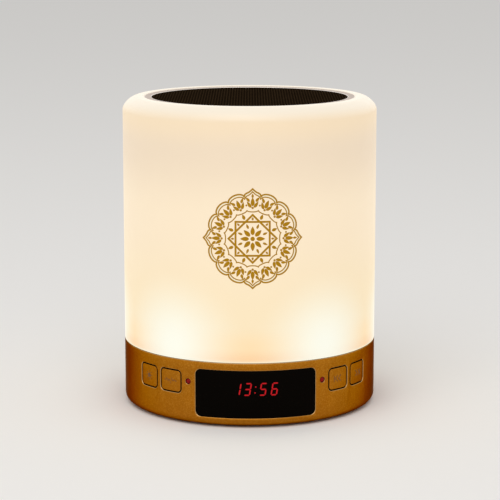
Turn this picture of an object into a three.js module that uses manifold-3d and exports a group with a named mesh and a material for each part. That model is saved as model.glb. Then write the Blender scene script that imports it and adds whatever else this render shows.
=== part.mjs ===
// A round table lamp with a speaker in its top. Millimetres, +Z up.
// The clock window faces -Y. The origin is the centre of the soles of the four feet.
// Angles are counted from the front, positive towards +X.

import * as THREE from "three";
import { mergeVertices } from "three/addons/utils/BufferGeometryUtils.js";
import Module from "manifold-3d";

const wasm = await Module();
wasm.setup();

// Overall size
const overallDiameter = 115;
const overallHeight = 140;
const radius = overallDiameter / 2;

// Clearances
const seatGap = 0.1; // between flat faces that rest on each other
const fitGap = 0.3; // round a piece that sits in a cut or a bore
const overrun = 2; // how far a cutter passes its wall

// Facets
const outerSides = 40;
const innerSides = 20;
const smallSides = 10;
const cornerSteps = 2;

// Base ring
const baseLift = 0.8; // gold rim above the table
const baseHeight = 28.3;
const baseWall = 2.4;
const baseRound = 3; // round along the bottom edge
const baseRimWidth = 1.5; // flat land round the bottom cover
const baseRimHeight = 2.6;
const baseTop = baseLift + baseHeight;
const baseInner = radius - baseWall;
const rimInner = radius - baseRound - baseRimWidth;
const rimTop = baseLift + baseRimHeight;

// Bottom cover
const coverRecess = 0.4;
const coverThickness = 2.2;
const coverRadius = rimInner - fitGap;
const coverBottom = baseLift + coverRecess;
const coverTop = coverBottom + coverThickness;

// Feet
const footRadius = 5;
const footSocketDepth = 0.8;
const footInset = 14.7; // foot centre inside the edge of the cover
const footRing = coverRadius - footInset;
const footTop = coverBottom + footSocketDepth - seatGap;
const footAngles = [45, 135, 225, 315];

// Shade
const shadeWall = 2;
const seamGap = 0.1; // hairline between shade and base
const shadeBottom = baseTop + seamGap;
const shoulderWidth = 6.4;
const shoulderDrop = 5.7;
const shoulderFullness = 1.6; // 2 is an ellipse, less is flatter
const shoulderSteps = 5;
const plateauWidth = 3.4;
const spigotWall = 1.5;
const spigotDrop = 2.2;
const spigotOuter = baseInner - fitGap;
const spigotInner = spigotOuter - spigotWall;
const spigotBottom = shadeBottom - spigotDrop;
const shadeStep = 3; // height of the slope between spigot and wall

// Touch ring round the grille
const ringWidth = 3.3;
const ringSink = 0.2; // outer edge below the top of the shade
const ringSlope = 0.15;
const ringThickness = 0.7;
const ringSideGap = 0.15;
const ringLedge = 1.3; // land on the shade
const skirtWall = 0.8;
const skirtDrop = 4.6;
const ringOuter = radius - shoulderWidth - plateauWidth;
const ringInner = ringOuter - ringWidth;
const ringTop = overallHeight - ringSink;
const ringUnder = ringTop - ringThickness;
const shadeMouth = ringOuter - ringLedge;
const skirtOuter = shadeMouth - fitGap;
const skirtInner = skirtOuter - skirtWall;

// Grille
const grilleThickness = 0.8;
const grilleHoleRadius = 1.2;
const grilleHolePitch = 8;
const grilleMargin = 2.4; // unpierced edge
const grilleHoleSides = 6;
const grilleRadius = skirtInner - fitGap;
const grilleTop = ringUnder - seatGap;
const grilleBottom = grilleTop - grilleThickness;

// Chassis plate between the base and the light chamber
const chassisSink = 0.8; // top of the plate below the top of the base
const chassisThickness = 2;
const chassisBossDrop = 3; // screw boss under the plate
const chassisTop = baseTop - chassisSink;
const chassisBottom = chassisTop - chassisThickness;
const chassisRadius = spigotInner - fitGap;
const bossBottom = chassisBottom - chassisBossDrop;

// Long screws, and the posts that they pass through
const screwRadius = 1.3;
const screwHeadRadius = 2.8;
const screwHeadHeight = 1.4;
const postRadius = 3.5;
const postInset = 6.6; // post centre inside the wall
const postRibWidth = 2;
const rearPostRoom = 3.9; // between the rear post and the sound socket
const postRing = baseInner - postInset;
const postBottom = coverTop + seatGap;
const postTop = bossBottom - seatGap;

// Core tube and the speaker ring that stands on it
const tubeRadius = 24;
const tubeWall = 2.2;
const tubeFlangeWidth = 5;
const tubeFlangeHeight = 2;
const collarWall = 2;
const speakerRecess = 9.6; // grille seat to speaker seat
const baffleThickness = 4;
const funnelRise = 4; // straight wall between funnel and speaker board
const funnelRoom = 6; // under the magnet
const tubeInner = tubeRadius - tubeWall;
const tubeFlange = tubeRadius + tubeFlangeWidth;
const tubeBottom = chassisTop + seatGap;
const collarOuter = skirtInner - fitGap;
const collarInner = collarOuter - collarWall;
const collarTop = grilleBottom - seatGap;
const baffleTop = collarTop - speakerRecess;
const baffleBottom = baffleTop - baffleThickness;

// Speaker
const speakerSideRoom = 5;
const flangeThickness = 1.2;
const flangeLand = 7;
const basketWall = 1.2;
const basketSideGap = 0.6;
const basketDepth = 16;
const basketFloorRadius = 19.5;
const basketWindowWidth = 14;
const basketWindowHeight = 7;
const basketWindowRise = 4.5; // window above the basket's floor
const basketWindows = 4;
const flangeRadius = collarInner - speakerSideRoom;
const baffleMouth = flangeRadius - flangeLand;
const basketMouth = baffleMouth - basketSideGap;
const speakerSeat = baffleTop + seatGap;
const flangeTop = speakerSeat + flangeThickness;
const basketFloor = speakerSeat - basketDepth;

// Speaker motor
const poleRadius = 7.6;
const coilGap = 0.5;
const coilWall = 0.6;
const coilLength = 14;
const coilDip = 8; // coil below the basket's floor
const topPlateRadius = 17.5;
const topPlateThickness = 3;
const magnetRadius = 22.5;
const magnetBore = 12;
const magnetThickness = 8;
const yokeThickness = 3;
const coilInner = poleRadius + coilGap;
const coilOuter = coilInner + coilWall;
const topPlateBore = coilOuter + coilGap;
const topPlateTop = basketFloor - seatGap;
const magnetTop = topPlateTop - topPlateThickness - seatGap;
const yokeTop = magnetTop - magnetThickness - seatGap;
const yokeBottom = yokeTop - yokeThickness;
const coilBottom = basketFloor - coilDip;

// Cone, its dust cap and its two suspensions
const coneWall = 0.7;
const coneDepth = 12.8;
const coneRimWidth = 1.6;
const surroundRoll = 2.2;
const surroundThickness = 0.5;
const surroundLip = 2.2;
const surroundSteps = 4;
const gasketThickness = 1.5;
const spiderThickness = 0.5;
const spiderRise = 1.8; // spider above the basket's floor
const spiderWave = 0.5;
const spiderWaves = 1;
const dustCapRadius = 11;
const dustCapHeight = 3.5;
const dustCapWall = 0.5;
const dustCapSteps = 4;
const surroundOuterRoot = basketMouth - basketWall;
const surroundInnerRoot = surroundOuterRoot - 2 * surroundRoll;
const surroundRim = basketMouth + surroundLip;
const surroundBottom = flangeTop + seatGap;
const coneNeck = coilOuter + seatGap;
const coneNeckBottom = flangeTop - coneDepth;

// Speaker screws
const smallScrewRadius = 1.25;
const smallHeadRadius = 2.2;
const smallHeadHeight = 1.4;
const smallScrewInset = 3; // screw centre inside the speaker flange
const smallScrewTip = 0.6; // tip above the underside of the speaker board
const speakerScrewAngles = [45, 135, 225, 315];

// Light board
const boardThickness = 1.6;
const leadLane = 3.2; // lane for the touch lead round the tube's flange
const ledBoardWidth = 10;
const ledCount = 12;
const ledSize = 5;
const ledHeight = 1.6;
const ledBoardInner = tubeFlange + leadLane;
const ledBoardOuter = ledBoardInner + ledBoardWidth;
const ledBoardBottom = chassisTop + seatGap;
const ledBoardTop = ledBoardBottom + boardThickness;

// Clock window
const windowHalfArc = 27.4;
const windowBottomMargin = 4.2;
const windowTopMargin = 3.35;
const windowCorner = 2.3;
const windowSink = 0.15;
const windowGap = 0.15;
const windowLip = 0.8; // lip behind the wall, above and below the pane
const lipThickness = 1.4;
const windowBottom = baseLift + windowBottomMargin;
const windowTop = baseTop - windowTopMargin;
const windowHeight = windowTop - windowBottom;
const windowWidth = 2 * radius * Math.sin(windowHalfArc / radius);
const lipOuter = baseInner - fitGap;
const lipInner = lipOuter - lipThickness;

// Indicator lenses
const lensRadius = 1.15;
const lensGap = 0.15;
const lensDome = 0.5;
const lensFlange = 0.35;
const lensFlangeDepth = 0.7;
const lensOffset = 3.6; // from the window's edge, along the arc
const lensDrop = 9.5; // below the top of the base
const lensHeight = baseTop - lensDrop;
const lensArc = windowHalfArc + lensOffset;

// Keys
const keyWidth = 11.9;
const keyHeight = 10.4;
const keyCorner = 2;
const keyGroove = 0.35;
const keySink = 0.1;
const keyWeb = 1.95; // wall between two keys
const keyLensRoom = 3.4; // from the lens to the first key's edge
const keyTopMargin = 5;
const keyLip = 0.9;
const keyTravel = 0.6;
const keyMiddle = baseTop - keyTopMargin - keyHeight / 2;
const innerKeyArc = lensArc + keyLensRoom + keyWidth / 2;
const outerKeyArc = innerKeyArc + keyWidth + keyWeb;
const keyBoardArc = (innerKeyArc + outerKeyArc) / 2;
const frontPostRoom = 21; // from the outer key's centre to the front post, along the arc
const frontPostArc = outerKeyArc + frontPostRoom;

// Switches behind the keys
const switchSize = 6;
const switchDepth = 3.6;
const plungerRadius = 1.75;
const plungerStick = 2; // plunger outside the switch
const plungerInside = 0.9;
const switchFront = lipInner - plungerStick;
const switchBack = switchFront - switchDepth;
const switchBore = plungerInside + keyTravel + fitGap;

// Key boards
const keyBoardEdge = 3;
const keyBoardTopMargin = 1.3; // under the chassis plate
const keyTurn = (outerKeyArc - keyBoardArc) / radius;
const keyBoardFront = switchBack * Math.cos(keyTurn) - (switchSize / 2) * Math.sin(keyTurn) - seatGap;
const keyBoardBack = keyBoardFront - boardThickness;
const keyBoardLength = keyWidth + keyWeb + switchSize + 2 * keyBoardEdge;
const boardFoot = coverTop + fitGap;
const boardHead = chassisBottom - keyBoardTopMargin;

// Clock display
const displayWidth = 34;
const displayDepth = 7.5;
const displayFloor = 4.3; // display above its board's lower edge
const displayBoardEdge = 3;
const displayRoom = 0.5;
const displayFront = Math.sqrt(lipInner ** 2 - (displayWidth / 2) ** 2) - displayRoom;
const displayBack = displayFront - displayDepth;

// Battery
const cellRoom = 3; // above the cell
const holderFloor = 1.2;
const holderWall = 1.6;
const holderEnd = 2.5;
const holderRoom = 5; // between the holder's corners and the key boards
const cellMiddleY = -12;
const cellTipRadius = 2.8;
const cellTipLength = 0.8;
const holderBottom = coverTop + seatGap;
const cellRadius = (chassisBottom - cellRoom - holderBottom - holderFloor - fitGap) / 2;
const cellMiddleZ = holderBottom + holderFloor + fitGap + cellRadius;
const holderHalfDepth = cellRadius + fitGap + holderWall;
const holderFront = cellMiddleY - holderHalfDepth;
const holderRear = cellMiddleY + holderHalfDepth;
const keyBoardTurn = keyBoardArc / radius;
const holderReach = (keyBoardBack + holderFront * Math.cos(keyBoardTurn)) / Math.sin(keyBoardTurn);
const holderHalfLength = holderReach - holderRoom;
const cellHalfLength = holderHalfLength - holderEnd - fitGap;

// Main board
const mainBoardHalfWidth = 24;
const mainBoardRoom = 3.8; // behind the battery holder
const mainBoardRearRoom = 3;
const standoffHeight = 1.9;
const standoffRadius = 2.5;
const standoffInset = 4;
const mainBoardFront = holderRear + mainBoardRoom;
const mainBoardRear = baseInner - mainBoardRearRoom;
const mainBoardCorner = Math.sqrt(mainBoardRear ** 2 - mainBoardHalfWidth ** 2);
const mainBoardBottom = coverTop + standoffHeight + seatGap;
const mainBoardTop = mainBoardBottom + boardThickness;
const portSeat = mainBoardTop + seatGap;

// Parts soldered to the main board
const chipSize = 9;
const chipHeight = 1.2;
const chipSpacing = 14;
const capacitorRadius = 2.5;
const capacitorHeight = 6;
const plugWidth = 5;
const plugHeight = 3;
const solderSink = 0.2; // how far soldered parts sink into their board

// Charging socket
const chargeX = -10;
const chargeWidth = 9;
const chargeHeight = 3.3;
const chargeDepth = 7.4;
const chargeWall = 0.4;
const chargeBack = 1.2;
const tongueWidth = 6.4;
const tongueHeight = 0.7;
const tongueLength = 4.6;
const portRelief = 0.6; // hole in the wall round each port

// Card socket
const cardX = 13.5;
const cardWidth = 14;
const cardHeight = 2.2;
const cardDepth = 14.5;
const cardSlotWidth = 11.4;
const cardSlotHeight = 1;
const cardSlotDepth = 12.5;

// Sound input socket
const soundX = -20.6;
const soundWidth = 6.4;
const soundHeight = 5.2;
const soundDepth = 9;
const soundNose = 3.2;
const soundNoseRadius = 2.5;
const soundBore = 1.8;
const soundBoreDepth = 10.4;

// Power switch
const powerWidth = 9;
const powerDepth = 4.4;
const powerHeight = 3.8;
const powerTravel = 2;
const powerSlotDepth = 1.9;
const knobWidth = 2.8;
const knobHeight = 1.8;
const knobSink = 0.4; // end of the knob inside the wall's outer face
const knobInside = 1.5;

// Leads
const leadRadius = 0.7;
const leadSides = 6;
const leadSteps = 20;
const leadLift = 0.5; // lead beside the wall that it follows

// Finishes
const finishes = {
  milky: { color: 0xfbead0, roughness: 0.35, metalness: 0 },
  gold: { color: 0xb0701e, roughness: 0.38, metalness: 0.85 },
  silver: { color: 0xbfa48f, roughness: 0.3, metalness: 1 },
  blackMetal: { color: 0x1a1512, roughness: 0.5, metalness: 0.6 },
  blackGloss: { color: 0x0a0605, roughness: 0.08, metalness: 0 },
  redLens: { color: 0x8c0f12, roughness: 0.15, metalness: 0 },
  blackPlastic: { color: 0x17140f, roughness: 0.6, metalness: 0 },
  whitePlastic: { color: 0xe9e4da, roughness: 0.5, metalness: 0 },
  rubber: { color: 0x1b1a19, roughness: 0.9, metalness: 0 },
  paperCone: { color: 0x24211f, roughness: 0.85, metalness: 0 },
  foam: { color: 0x2a2725, roughness: 0.95, metalness: 0 },
  cloth: { color: 0xb98a3c, roughness: 0.9, metalness: 0 },
  ferrite: { color: 0x35312f, roughness: 0.7, metalness: 0.1 },
  zincSteel: { color: 0xb7b4ab, roughness: 0.35, metalness: 1 },
  copper: { color: 0xb5652c, roughness: 0.4, metalness: 1 },
  board: { color: 0x1f5a34, roughness: 0.5, metalness: 0 },
  whiteBoard: { color: 0xeeeae0, roughness: 0.45, metalness: 0 },
  cellWrap: { color: 0x2d5f8c, roughness: 0.4, metalness: 0 },
  redLead: { color: 0xa3201c, roughness: 0.5, metalness: 0 },
  greyLead: { color: 0x8f8c88, roughness: 0.5, metalness: 0 },
};

// Turning and placing

const degrees = (radians) => (radians * 180) / Math.PI;
const radians = (angle) => (angle * Math.PI) / 180;

const mirrored = (items) => items.flatMap((item) => [-item, item]);

function ringPoint(ring, angle) {
  return [ring * Math.sin(radians(angle)), -ring * Math.cos(radians(angle))];
}

// Solids from three.js geometries

function signedVolume(positions, triangles) {
  const corner = [new THREE.Vector3(), new THREE.Vector3(), new THREE.Vector3()];
  let volume = 0;
  for (let at = 0; at < triangles.length; at += 3) {
    corner.forEach((point, side) => point.fromArray(positions, 3 * triangles[at + side]));
    volume += corner[0].dot(corner[1].cross(corner[2])) / 6;
  }
  return volume;
}

function solid(geometry) {
  geometry.deleteAttribute("normal");
  geometry.deleteAttribute("uv");
  const merged = mergeVertices(geometry);
  const positions = merged.attributes.position.array;
  const triangles = [];
  for (let at = 0; at < merged.index.count; at += 3) {
    const [a, b, c] = merged.index.array.slice(at, at + 3);
    if (a !== b && b !== c && c !== a) {
      triangles.push(a, b, c);
    }
  }
  if (signedVolume(positions, triangles) < 0) {
    triangles.reverse();
  }
  const mesh = new wasm.Mesh({
    numProp: 3,
    vertProperties: new Float32Array(positions),
    triVerts: new Uint32Array(triangles),
  });
  return new wasm.Manifold(mesh);
}

function lathe(profile, sides) {
  const closed = [...profile, profile[0]].map(([across, up]) => new THREE.Vector2(across, up));
  return solid(new THREE.LatheGeometry(closed, sides).rotateX(Math.PI / 2));
}

function tube(outer, inner, bottom, top, sides) {
  return lathe([[outer, bottom], [outer, top], [inner, top], [inner, bottom]], sides);
}

function disc(rim, bottom, top, sides) {
  const height = top - bottom;
  const form = new THREE.CylinderGeometry(rim, rim, height, sides).rotateX(Math.PI / 2);
  return solid(form.translate(0, 0, bottom + height / 2));
}

function block(left, right, front, back, bottom, top) {
  const form = new THREE.BoxGeometry(right - left, back - front, top - bottom);
  return solid(form.translate((left + right) / 2, (front + back) / 2, (bottom + top) / 2));
}

function roundedShape(width, height, corner) {
  const [x, y] = [width / 2, height / 2];
  const shape = new THREE.Shape();
  shape.moveTo(x, y - corner);
  shape.absarc(x - corner, y - corner, corner, 0, Math.PI / 2);
  shape.absarc(-x + corner, y - corner, corner, Math.PI / 2, Math.PI);
  shape.absarc(-x + corner, -y + corner, corner, Math.PI, 1.5 * Math.PI);
  shape.absarc(x - corner, -y + corner, corner, 1.5 * Math.PI, 2 * Math.PI);
  return shape;
}

// A rounded plate that stands upright and runs along Y, from one distance in front of the axis to another
function upright(width, height, corner, middle, near, far) {
  const settings = { depth: far - near, bevelEnabled: false, curveSegments: cornerSteps };
  const form = new THREE.ExtrudeGeometry(roundedShape(width, height, corner), settings);
  return solid(form.rotateX(Math.PI / 2).translate(0, -near, middle));
}

// A round bar that runs along Y in front of the axis
function bar(rim, middle, near, far, sides) {
  const form = new THREE.CylinderGeometry(rim, rim, far - near, sides);
  return solid(form.translate(0, -(near + far) / 2, middle));
}

function lead(points) {
  const route = new THREE.CatmullRomCurve3(points.map((point) => new THREE.Vector3(...point)));
  const around = [...Array(leadSides).keys()].map((side) => (2 * Math.PI * side) / leadSides);
  const corners = around.map((turn) => new THREE.Vector2(
    leadRadius * Math.cos(turn),
    leadRadius * Math.sin(turn),
  ));
  const settings = { steps: leadSteps, extrudePath: route };
  return solid(new THREE.ExtrudeGeometry(new THREE.Shape(corners), settings));
}

const joined = (first, ...others) => others.reduce((whole, part) => whole.add(part), first);
const cut = (first, ...others) => others.reduce((whole, part) => whole.subtract(part), first);

function piece(name, form, finish) {
  const { vertProperties, triVerts } = form.getMesh();
  const geometry = new THREE.BufferGeometry();
  geometry.setAttribute("position", new THREE.BufferAttribute(new Float32Array(vertProperties), 3));
  geometry.setIndex(new THREE.BufferAttribute(new Uint32Array(triVerts), 1));
  geometry.computeVertexNormals();
  const mesh = new THREE.Mesh(geometry, new THREE.MeshStandardMaterial(finish));
  mesh.name = name;
  return mesh;
}

function turned(angle, ...meshes) {
  const holder = new THREE.Group();
  holder.rotation.z = radians(angle);
  holder.add(...meshes);
  return holder;
}

// Where the keys, the lenses and the posts stand
const innerKeyAngle = degrees(innerKeyArc / radius);
const outerKeyAngle = degrees(outerKeyArc / radius);
const keyBoardAngle = degrees(keyBoardTurn);
const lensAngle = degrees(lensArc / radius);
const frontPostAngle = degrees(frontPostArc / radius);
const rearPostReach = soundWidth / 2 - soundX + postRadius + rearPostRoom;
const rearPostAngle = 180 - degrees(Math.asin(rearPostReach / postRing));
const postAngles = mirrored([frontPostAngle, rearPostAngle]);
const portReach = (x) => Math.sqrt(baseInner ** 2 - x ** 2) - fitGap;

// Shade

function shoulder(width, drop) {
  const points = [];
  for (let step = 0; step <= shoulderSteps; step += 1) {
    const turn = (Math.PI / 2) * (step / shoulderSteps);
    points.push([
      width * Math.cos(turn) ** (2 / shoulderFullness),
      drop * Math.sin(turn) ** (2 / shoulderFullness),
    ]);
  }
  return points;
}

function makeShade() {
  const inner = radius - shadeWall;
  const outerCurve = shoulder(shoulderWidth, shoulderDrop).map(([out, up]) => [
    radius - shoulderWidth + out,
    overallHeight - shoulderDrop + up,
  ]);
  const half = shadeWall / 2;
  const innerCurve = shoulder(shoulderWidth - half, shoulderDrop - half).map(([out, up]) => [
    inner - shoulderWidth + half + out,
    overallHeight - shadeWall - shoulderDrop + up,
  ]);
  const rebate = ringUnder - seatGap;
  return lathe([
    [radius, shadeBottom],
    ...outerCurve,
    [ringOuter + ringSideGap, overallHeight],
    [ringOuter + ringSideGap, rebate],
    [shadeMouth, rebate],
    [shadeMouth, overallHeight - shadeWall],
    ...innerCurve.reverse(),
    [inner, shadeBottom + shadeStep],
    [spigotInner, shadeBottom],
    [spigotInner, spigotBottom],
    [spigotOuter, spigotBottom],
    [spigotOuter, shadeBottom],
  ], outerSides);
}

// Touch ring and grille

function makeTouchRing() {
  return lathe([
    [ringInner, ringUnder],
    [skirtInner, ringUnder],
    [skirtInner, ringUnder - skirtDrop],
    [skirtOuter, ringUnder - skirtDrop],
    [skirtOuter, ringUnder],
    [ringOuter, ringUnder],
    [ringOuter, ringTop],
    [ringInner, ringTop - ringSlope],
  ], outerSides);
}

function makeGrille() {
  const rows = Math.floor((grilleRadius - grilleMargin) / grilleHolePitch);
  const rowHeight = grilleHolePitch * Math.sin(Math.PI / 3);
  const limit = grilleRadius - grilleMargin - grilleHoleRadius;
  const holes = [];
  for (let row = -rows - 1; row <= rows + 1; row += 1) {
    for (let column = -rows - 1; column <= rows + 1; column += 1) {
      const x = grilleHolePitch * (column + (row % 2 === 0 ? 0 : 1 / 2));
      const y = rowHeight * row;
      if (Math.hypot(x, y) < limit) {
        const hole = disc(grilleHoleRadius, grilleBottom - overrun, grilleTop + overrun, grilleHoleSides);
        holes.push(hole.translate([x, y, 0]));
      }
    }
  }
  return cut(disc(grilleRadius, grilleBottom, grilleTop, outerSides), ...holes);
}

// Base ring with its openings and screw posts

function makeBaseRing() {
  const arc = [];
  for (let step = 0; step <= shoulderSteps; step += 1) {
    const turn = (Math.PI / 2) * (step / shoulderSteps);
    arc.push([
      radius - baseRound + baseRound * Math.sin(turn),
      baseLift + baseRound - baseRound * Math.cos(turn),
    ]);
  }
  const wall = lathe([
    [rimInner, baseLift],
    ...arc,
    [radius, baseTop],
    [baseInner, baseTop],
    [baseInner, rimTop],
    [rimInner, rimTop],
  ], outerSides);

  const post = joined(
    disc(postRadius, postBottom, postTop, smallSides).translate([0, -postRing, 0]),
    block(-postRibWidth / 2, postRibWidth / 2, -baseInner - baseWall / 2, -postRing, postBottom, postTop),
  );
  const bore = disc(screwRadius + fitGap, postBottom - overrun, postTop + overrun, smallSides);
  const boredPost = cut(post, bore.translate([0, -postRing, 0]));
  const posts = postAngles.map((angle) => boredPost.rotate([0, 0, angle]));

  const windowMiddle = (windowBottom + windowTop) / 2;
  const past = radius + overrun;
  const windowHole = upright(windowWidth, windowHeight, windowCorner, windowMiddle, 0, past);
  const keyHole = upright(keyWidth, keyHeight, keyCorner, keyMiddle, 0, past);
  const lensHole = bar(lensRadius + lensGap, lensHeight, 0, past, smallSides);
  const keyHoles = mirrored([innerKeyAngle, outerKeyAngle]).map((angle) => keyHole.rotate([0, 0, angle]));
  const lensHoles = mirrored([lensAngle]).map((angle) => lensHole.rotate([0, 0, angle]));

  return cut(joined(wall, ...posts), windowHole, ...keyHoles, ...lensHoles, ...portHoles());
}

function portHoles() {
  const past = radius + overrun;
  const wide = 2 * portRelief;
  const behind = (width, height, corner, middle, x) =>
    upright(width, height, corner, middle, 0, past).rotate([0, 0, 180]).translate([x, 0, 0]);
  const chargeHole = [chargeWidth + wide, chargeHeight + wide];
  const cardHole = [cardSlotWidth + wide, cardSlotHeight + wide];
  const powerHole = [knobWidth + powerTravel + 2 * fitGap, knobHeight + 2 * fitGap];
  const soundHole = bar(soundNoseRadius + portRelief, portSeat + soundHeight / 2, 0, past, smallSides);
  return [
    behind(...chargeHole, chargeHole[1] / 3, portSeat + chargeHeight / 2, chargeX),
    behind(...cardHole, cardHole[1] / 3, portSeat + cardHeight / 2, cardX),
    behind(...powerHole, powerHole[1] / 3, portSeat + powerHeight / 2, 0),
    soundHole.rotate([0, 0, 180]).translate([soundX, 0, 0]),
  ];
}

// Clock window, lenses and keys

function curvedPlate(width, height, corner, middle, inner, outer) {
  const shell = tube(outer, inner, middle - height, middle + height, outerSides);
  return shell.intersect(upright(width, height, corner, middle, 0, radius + overrun));
}

function makeWindow() {
  const middle = (windowBottom + windowTop) / 2;
  const [width, height] = [windowWidth - 2 * windowGap, windowHeight - 2 * windowGap];
  const pane = curvedPlate(width, height, windowCorner - windowGap, middle, lipInner, radius - windowSink);
  const lipHeight = windowHeight + 2 * windowLip;
  return pane.add(curvedPlate(width, lipHeight, windowCorner, middle, lipInner, lipOuter));
}

function makeLens() {
  const rod = bar(lensRadius, lensHeight, lipInner, radius - lensDome, smallSides);
  const dome = solid(new THREE.SphereGeometry(lensRadius, smallSides, smallSides / 2));
  const cap = dome.scale([1, lensDome / lensRadius, 1]).translate([0, lensDome - radius, lensHeight]);
  const flange = bar(lensRadius + lensFlange, lensHeight, lipOuter - lensFlangeDepth, lipOuter, smallSides);
  return joined(rod, cap, flange);
}

function makeKey() {
  const [width, height] = [keyWidth - 2 * keyGroove, keyHeight - 2 * keyGroove];
  const cap = curvedPlate(width, height, keyCorner - keyGroove, keyMiddle, lipInner, radius - keySink);
  const lip = curvedPlate(width, keyHeight + 2 * keyLip, keyCorner, keyMiddle, lipInner, lipOuter);
  return cap.add(lip);
}

function makePlunger() {
  return bar(plungerRadius, keyMiddle, switchFront - plungerInside, lipInner - fitGap, smallSides);
}

function makeSwitch() {
  const half = switchSize / 2;
  const body = block(-half, half, -switchFront, -switchBack, keyMiddle - half, keyMiddle + half);
  const wellEnd = switchFront + overrun;
  return cut(body, bar(plungerRadius + fitGap, keyMiddle, switchFront - switchBore, wellEnd, smallSides));
}

function makeKeyBoard() {
  const half = keyBoardLength / 2;
  return block(-half, half, -keyBoardFront, -keyBoardBack, boardFoot, boardHead);
}

function makeDisplay() {
  const half = displayWidth / 2;
  const boardHalf = half + displayBoardEdge;
  const body = block(-half, half, -displayFront, -displayBack, boardFoot + displayFloor, boardHead);
  const front = -displayBack - solderSink;
  return body.add(block(-boardHalf, boardHalf, front, boardThickness - displayBack, boardFoot, boardHead));
}

// Bottom cover, feet and long screws

function makeCover() {
  const plate = disc(coverRadius, coverBottom, coverTop, outerSides);
  const standoffs = standoffPlaces().map((place) =>
    disc(standoffRadius, coverBottom + coverThickness / 2, mainBoardBottom - seatGap, smallSides)
      .translate([...place, 0]));
  const socket = disc(footRadius + fitGap, coverBottom - overrun, footTop + seatGap, innerSides);
  const sockets = footAngles.map((angle) => socket.translate([...ringPoint(footRing, angle), 0]));
  const headSeat = coverBottom + screwHeadHeight + seatGap;
  const counterbore = disc(screwHeadRadius + fitGap, coverBottom - overrun, headSeat, smallSides);
  const hole = disc(screwRadius + fitGap, coverBottom - overrun, coverTop + overrun, smallSides);
  const screwCut = counterbore.add(hole);
  const screwCuts = postAngles.map((angle) => screwCut.translate([...ringPoint(postRing, angle), 0]));
  return cut(joined(plate, ...standoffs), ...sockets, ...screwCuts);
}

function standoffPlaces() {
  const x = mainBoardHalfWidth - standoffInset;
  const front = mainBoardFront + standoffInset;
  const rear = mainBoardCorner - standoffInset;
  return [[-x, front], [x, front], [-x, rear], [x, rear]];
}

function makeFoot() {
  return disc(footRadius, 0, footTop, innerSides);
}

function makeLongScrew() {
  const tip = chassisTop - chassisThickness / 2 - seatGap;
  const head = disc(screwHeadRadius, coverBottom, coverBottom + screwHeadHeight, smallSides);
  return head.add(disc(screwRadius, coverBottom + screwHeadHeight / 2, tip, smallSides));
}

// Chassis plate and light board

function makeChassis() {
  const plate = disc(chassisRadius, chassisBottom, chassisTop, outerSides);
  const plateMiddle = chassisTop - chassisThickness / 2;
  const boss = disc(postRadius, bossBottom, plateMiddle, smallSides);
  const pilot = disc(screwRadius + fitGap, bossBottom - overrun, plateMiddle, smallSides);
  const bosses = postAngles.map((angle) => boss.translate([...ringPoint(postRing, angle), 0]));
  const pilots = postAngles.map((angle) => pilot.translate([...ringPoint(postRing, angle), 0]));
  const mouth = disc(tubeRadius + fitGap, chassisBottom - overrun, chassisTop + overrun, outerSides);
  const leadHole = disc(leadRadius + fitGap, chassisBottom - overrun, chassisTop + overrun, smallSides);
  const leadPlace = ringPoint(tubeFlange + leadLane / 2, touchLeadAngle);
  return cut(joined(plate, ...bosses), ...pilots, mouth, leadHole.translate([...leadPlace, 0]));
}

function makeLightBoard() {
  const ring = tube(ledBoardOuter, ledBoardInner, ledBoardBottom, ledBoardTop, innerSides);
  const half = ledSize / 2;
  const middle = (ledBoardOuter + ledBoardInner) / 2;
  const lightTop = ledBoardTop + ledHeight;
  const light = block(-half, half, -middle - half, -middle + half, ledBoardTop - solderSink, lightTop);
  const lights = [...Array(ledCount).keys()].map((at) => light.rotate([0, 0, (360 * at) / ledCount]));
  return joined(ring, ...lights);
}

// Core tube with its funnel, and the speaker ring on top of it

function makeCoreTube() {
  const funnelBottom = yokeBottom - funnelRoom;
  const funnelTop = baffleBottom - funnelRise;
  return lathe([
    [tubeRadius, chassisBottom + seatGap],
    [tubeRadius, tubeBottom],
    [tubeFlange, tubeBottom],
    [tubeFlange, tubeBottom + tubeFlangeHeight],
    [tubeRadius, tubeBottom + tubeFlangeHeight],
    [tubeRadius, funnelBottom],
    [collarOuter, funnelTop],
    [collarOuter, baffleBottom - seatGap],
    [collarInner, baffleBottom - seatGap],
    [collarInner, funnelTop],
    [tubeInner, funnelBottom],
    [tubeInner, chassisBottom + seatGap],
  ], outerSides);
}

function makeSpeakerRing() {
  const ring = lathe([
    [collarOuter, baffleBottom],
    [collarOuter, collarTop],
    [collarInner, collarTop],
    [collarInner, baffleTop],
    [baffleMouth, baffleTop],
    [baffleMouth, baffleBottom],
  ], outerSides);
  return cut(ring, ...speakerScrewHoles());
}

function speakerScrewHoles() {
  const hole = disc(smallScrewRadius + fitGap, baffleBottom - overrun, flangeTop + overrun, smallSides);
  const ring = flangeRadius - smallScrewInset;
  return speakerScrewAngles.map((angle) => hole.translate([...ringPoint(ring, angle), 0]));
}

// Speaker

function makeBasket() {
  const floorTop = basketFloor + basketWall;
  const wall = lathe([
    [flangeRadius, speakerSeat],
    [flangeRadius, flangeTop],
    [basketMouth - basketWall, flangeTop],
    [basketFloorRadius - basketWall, floorTop],
    [topPlateBore + coilGap, floorTop],
    [topPlateBore + coilGap, basketFloor],
    [basketFloorRadius, basketFloor],
    [basketMouth, speakerSeat],
  ], innerSides);
  const middle = basketFloor + basketWindowRise + basketWindowHeight / 2;
  const opening = upright(basketWindowWidth, basketWindowHeight, basketWall, middle, 0, flangeRadius);
  const openings = [...Array(basketWindows).keys()].map((at) =>
    opening.rotate([0, 0, (360 * at) / basketWindows]));
  return cut(wall, ...openings, ...speakerScrewHoles());
}

function makeGasket() {
  const bottom = surroundBottom + surroundThickness + seatGap;
  const inside = surroundOuterRoot + surroundThickness;
  return tube(surroundRim, inside, bottom, bottom + gasketThickness, innerSides);
}

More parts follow.
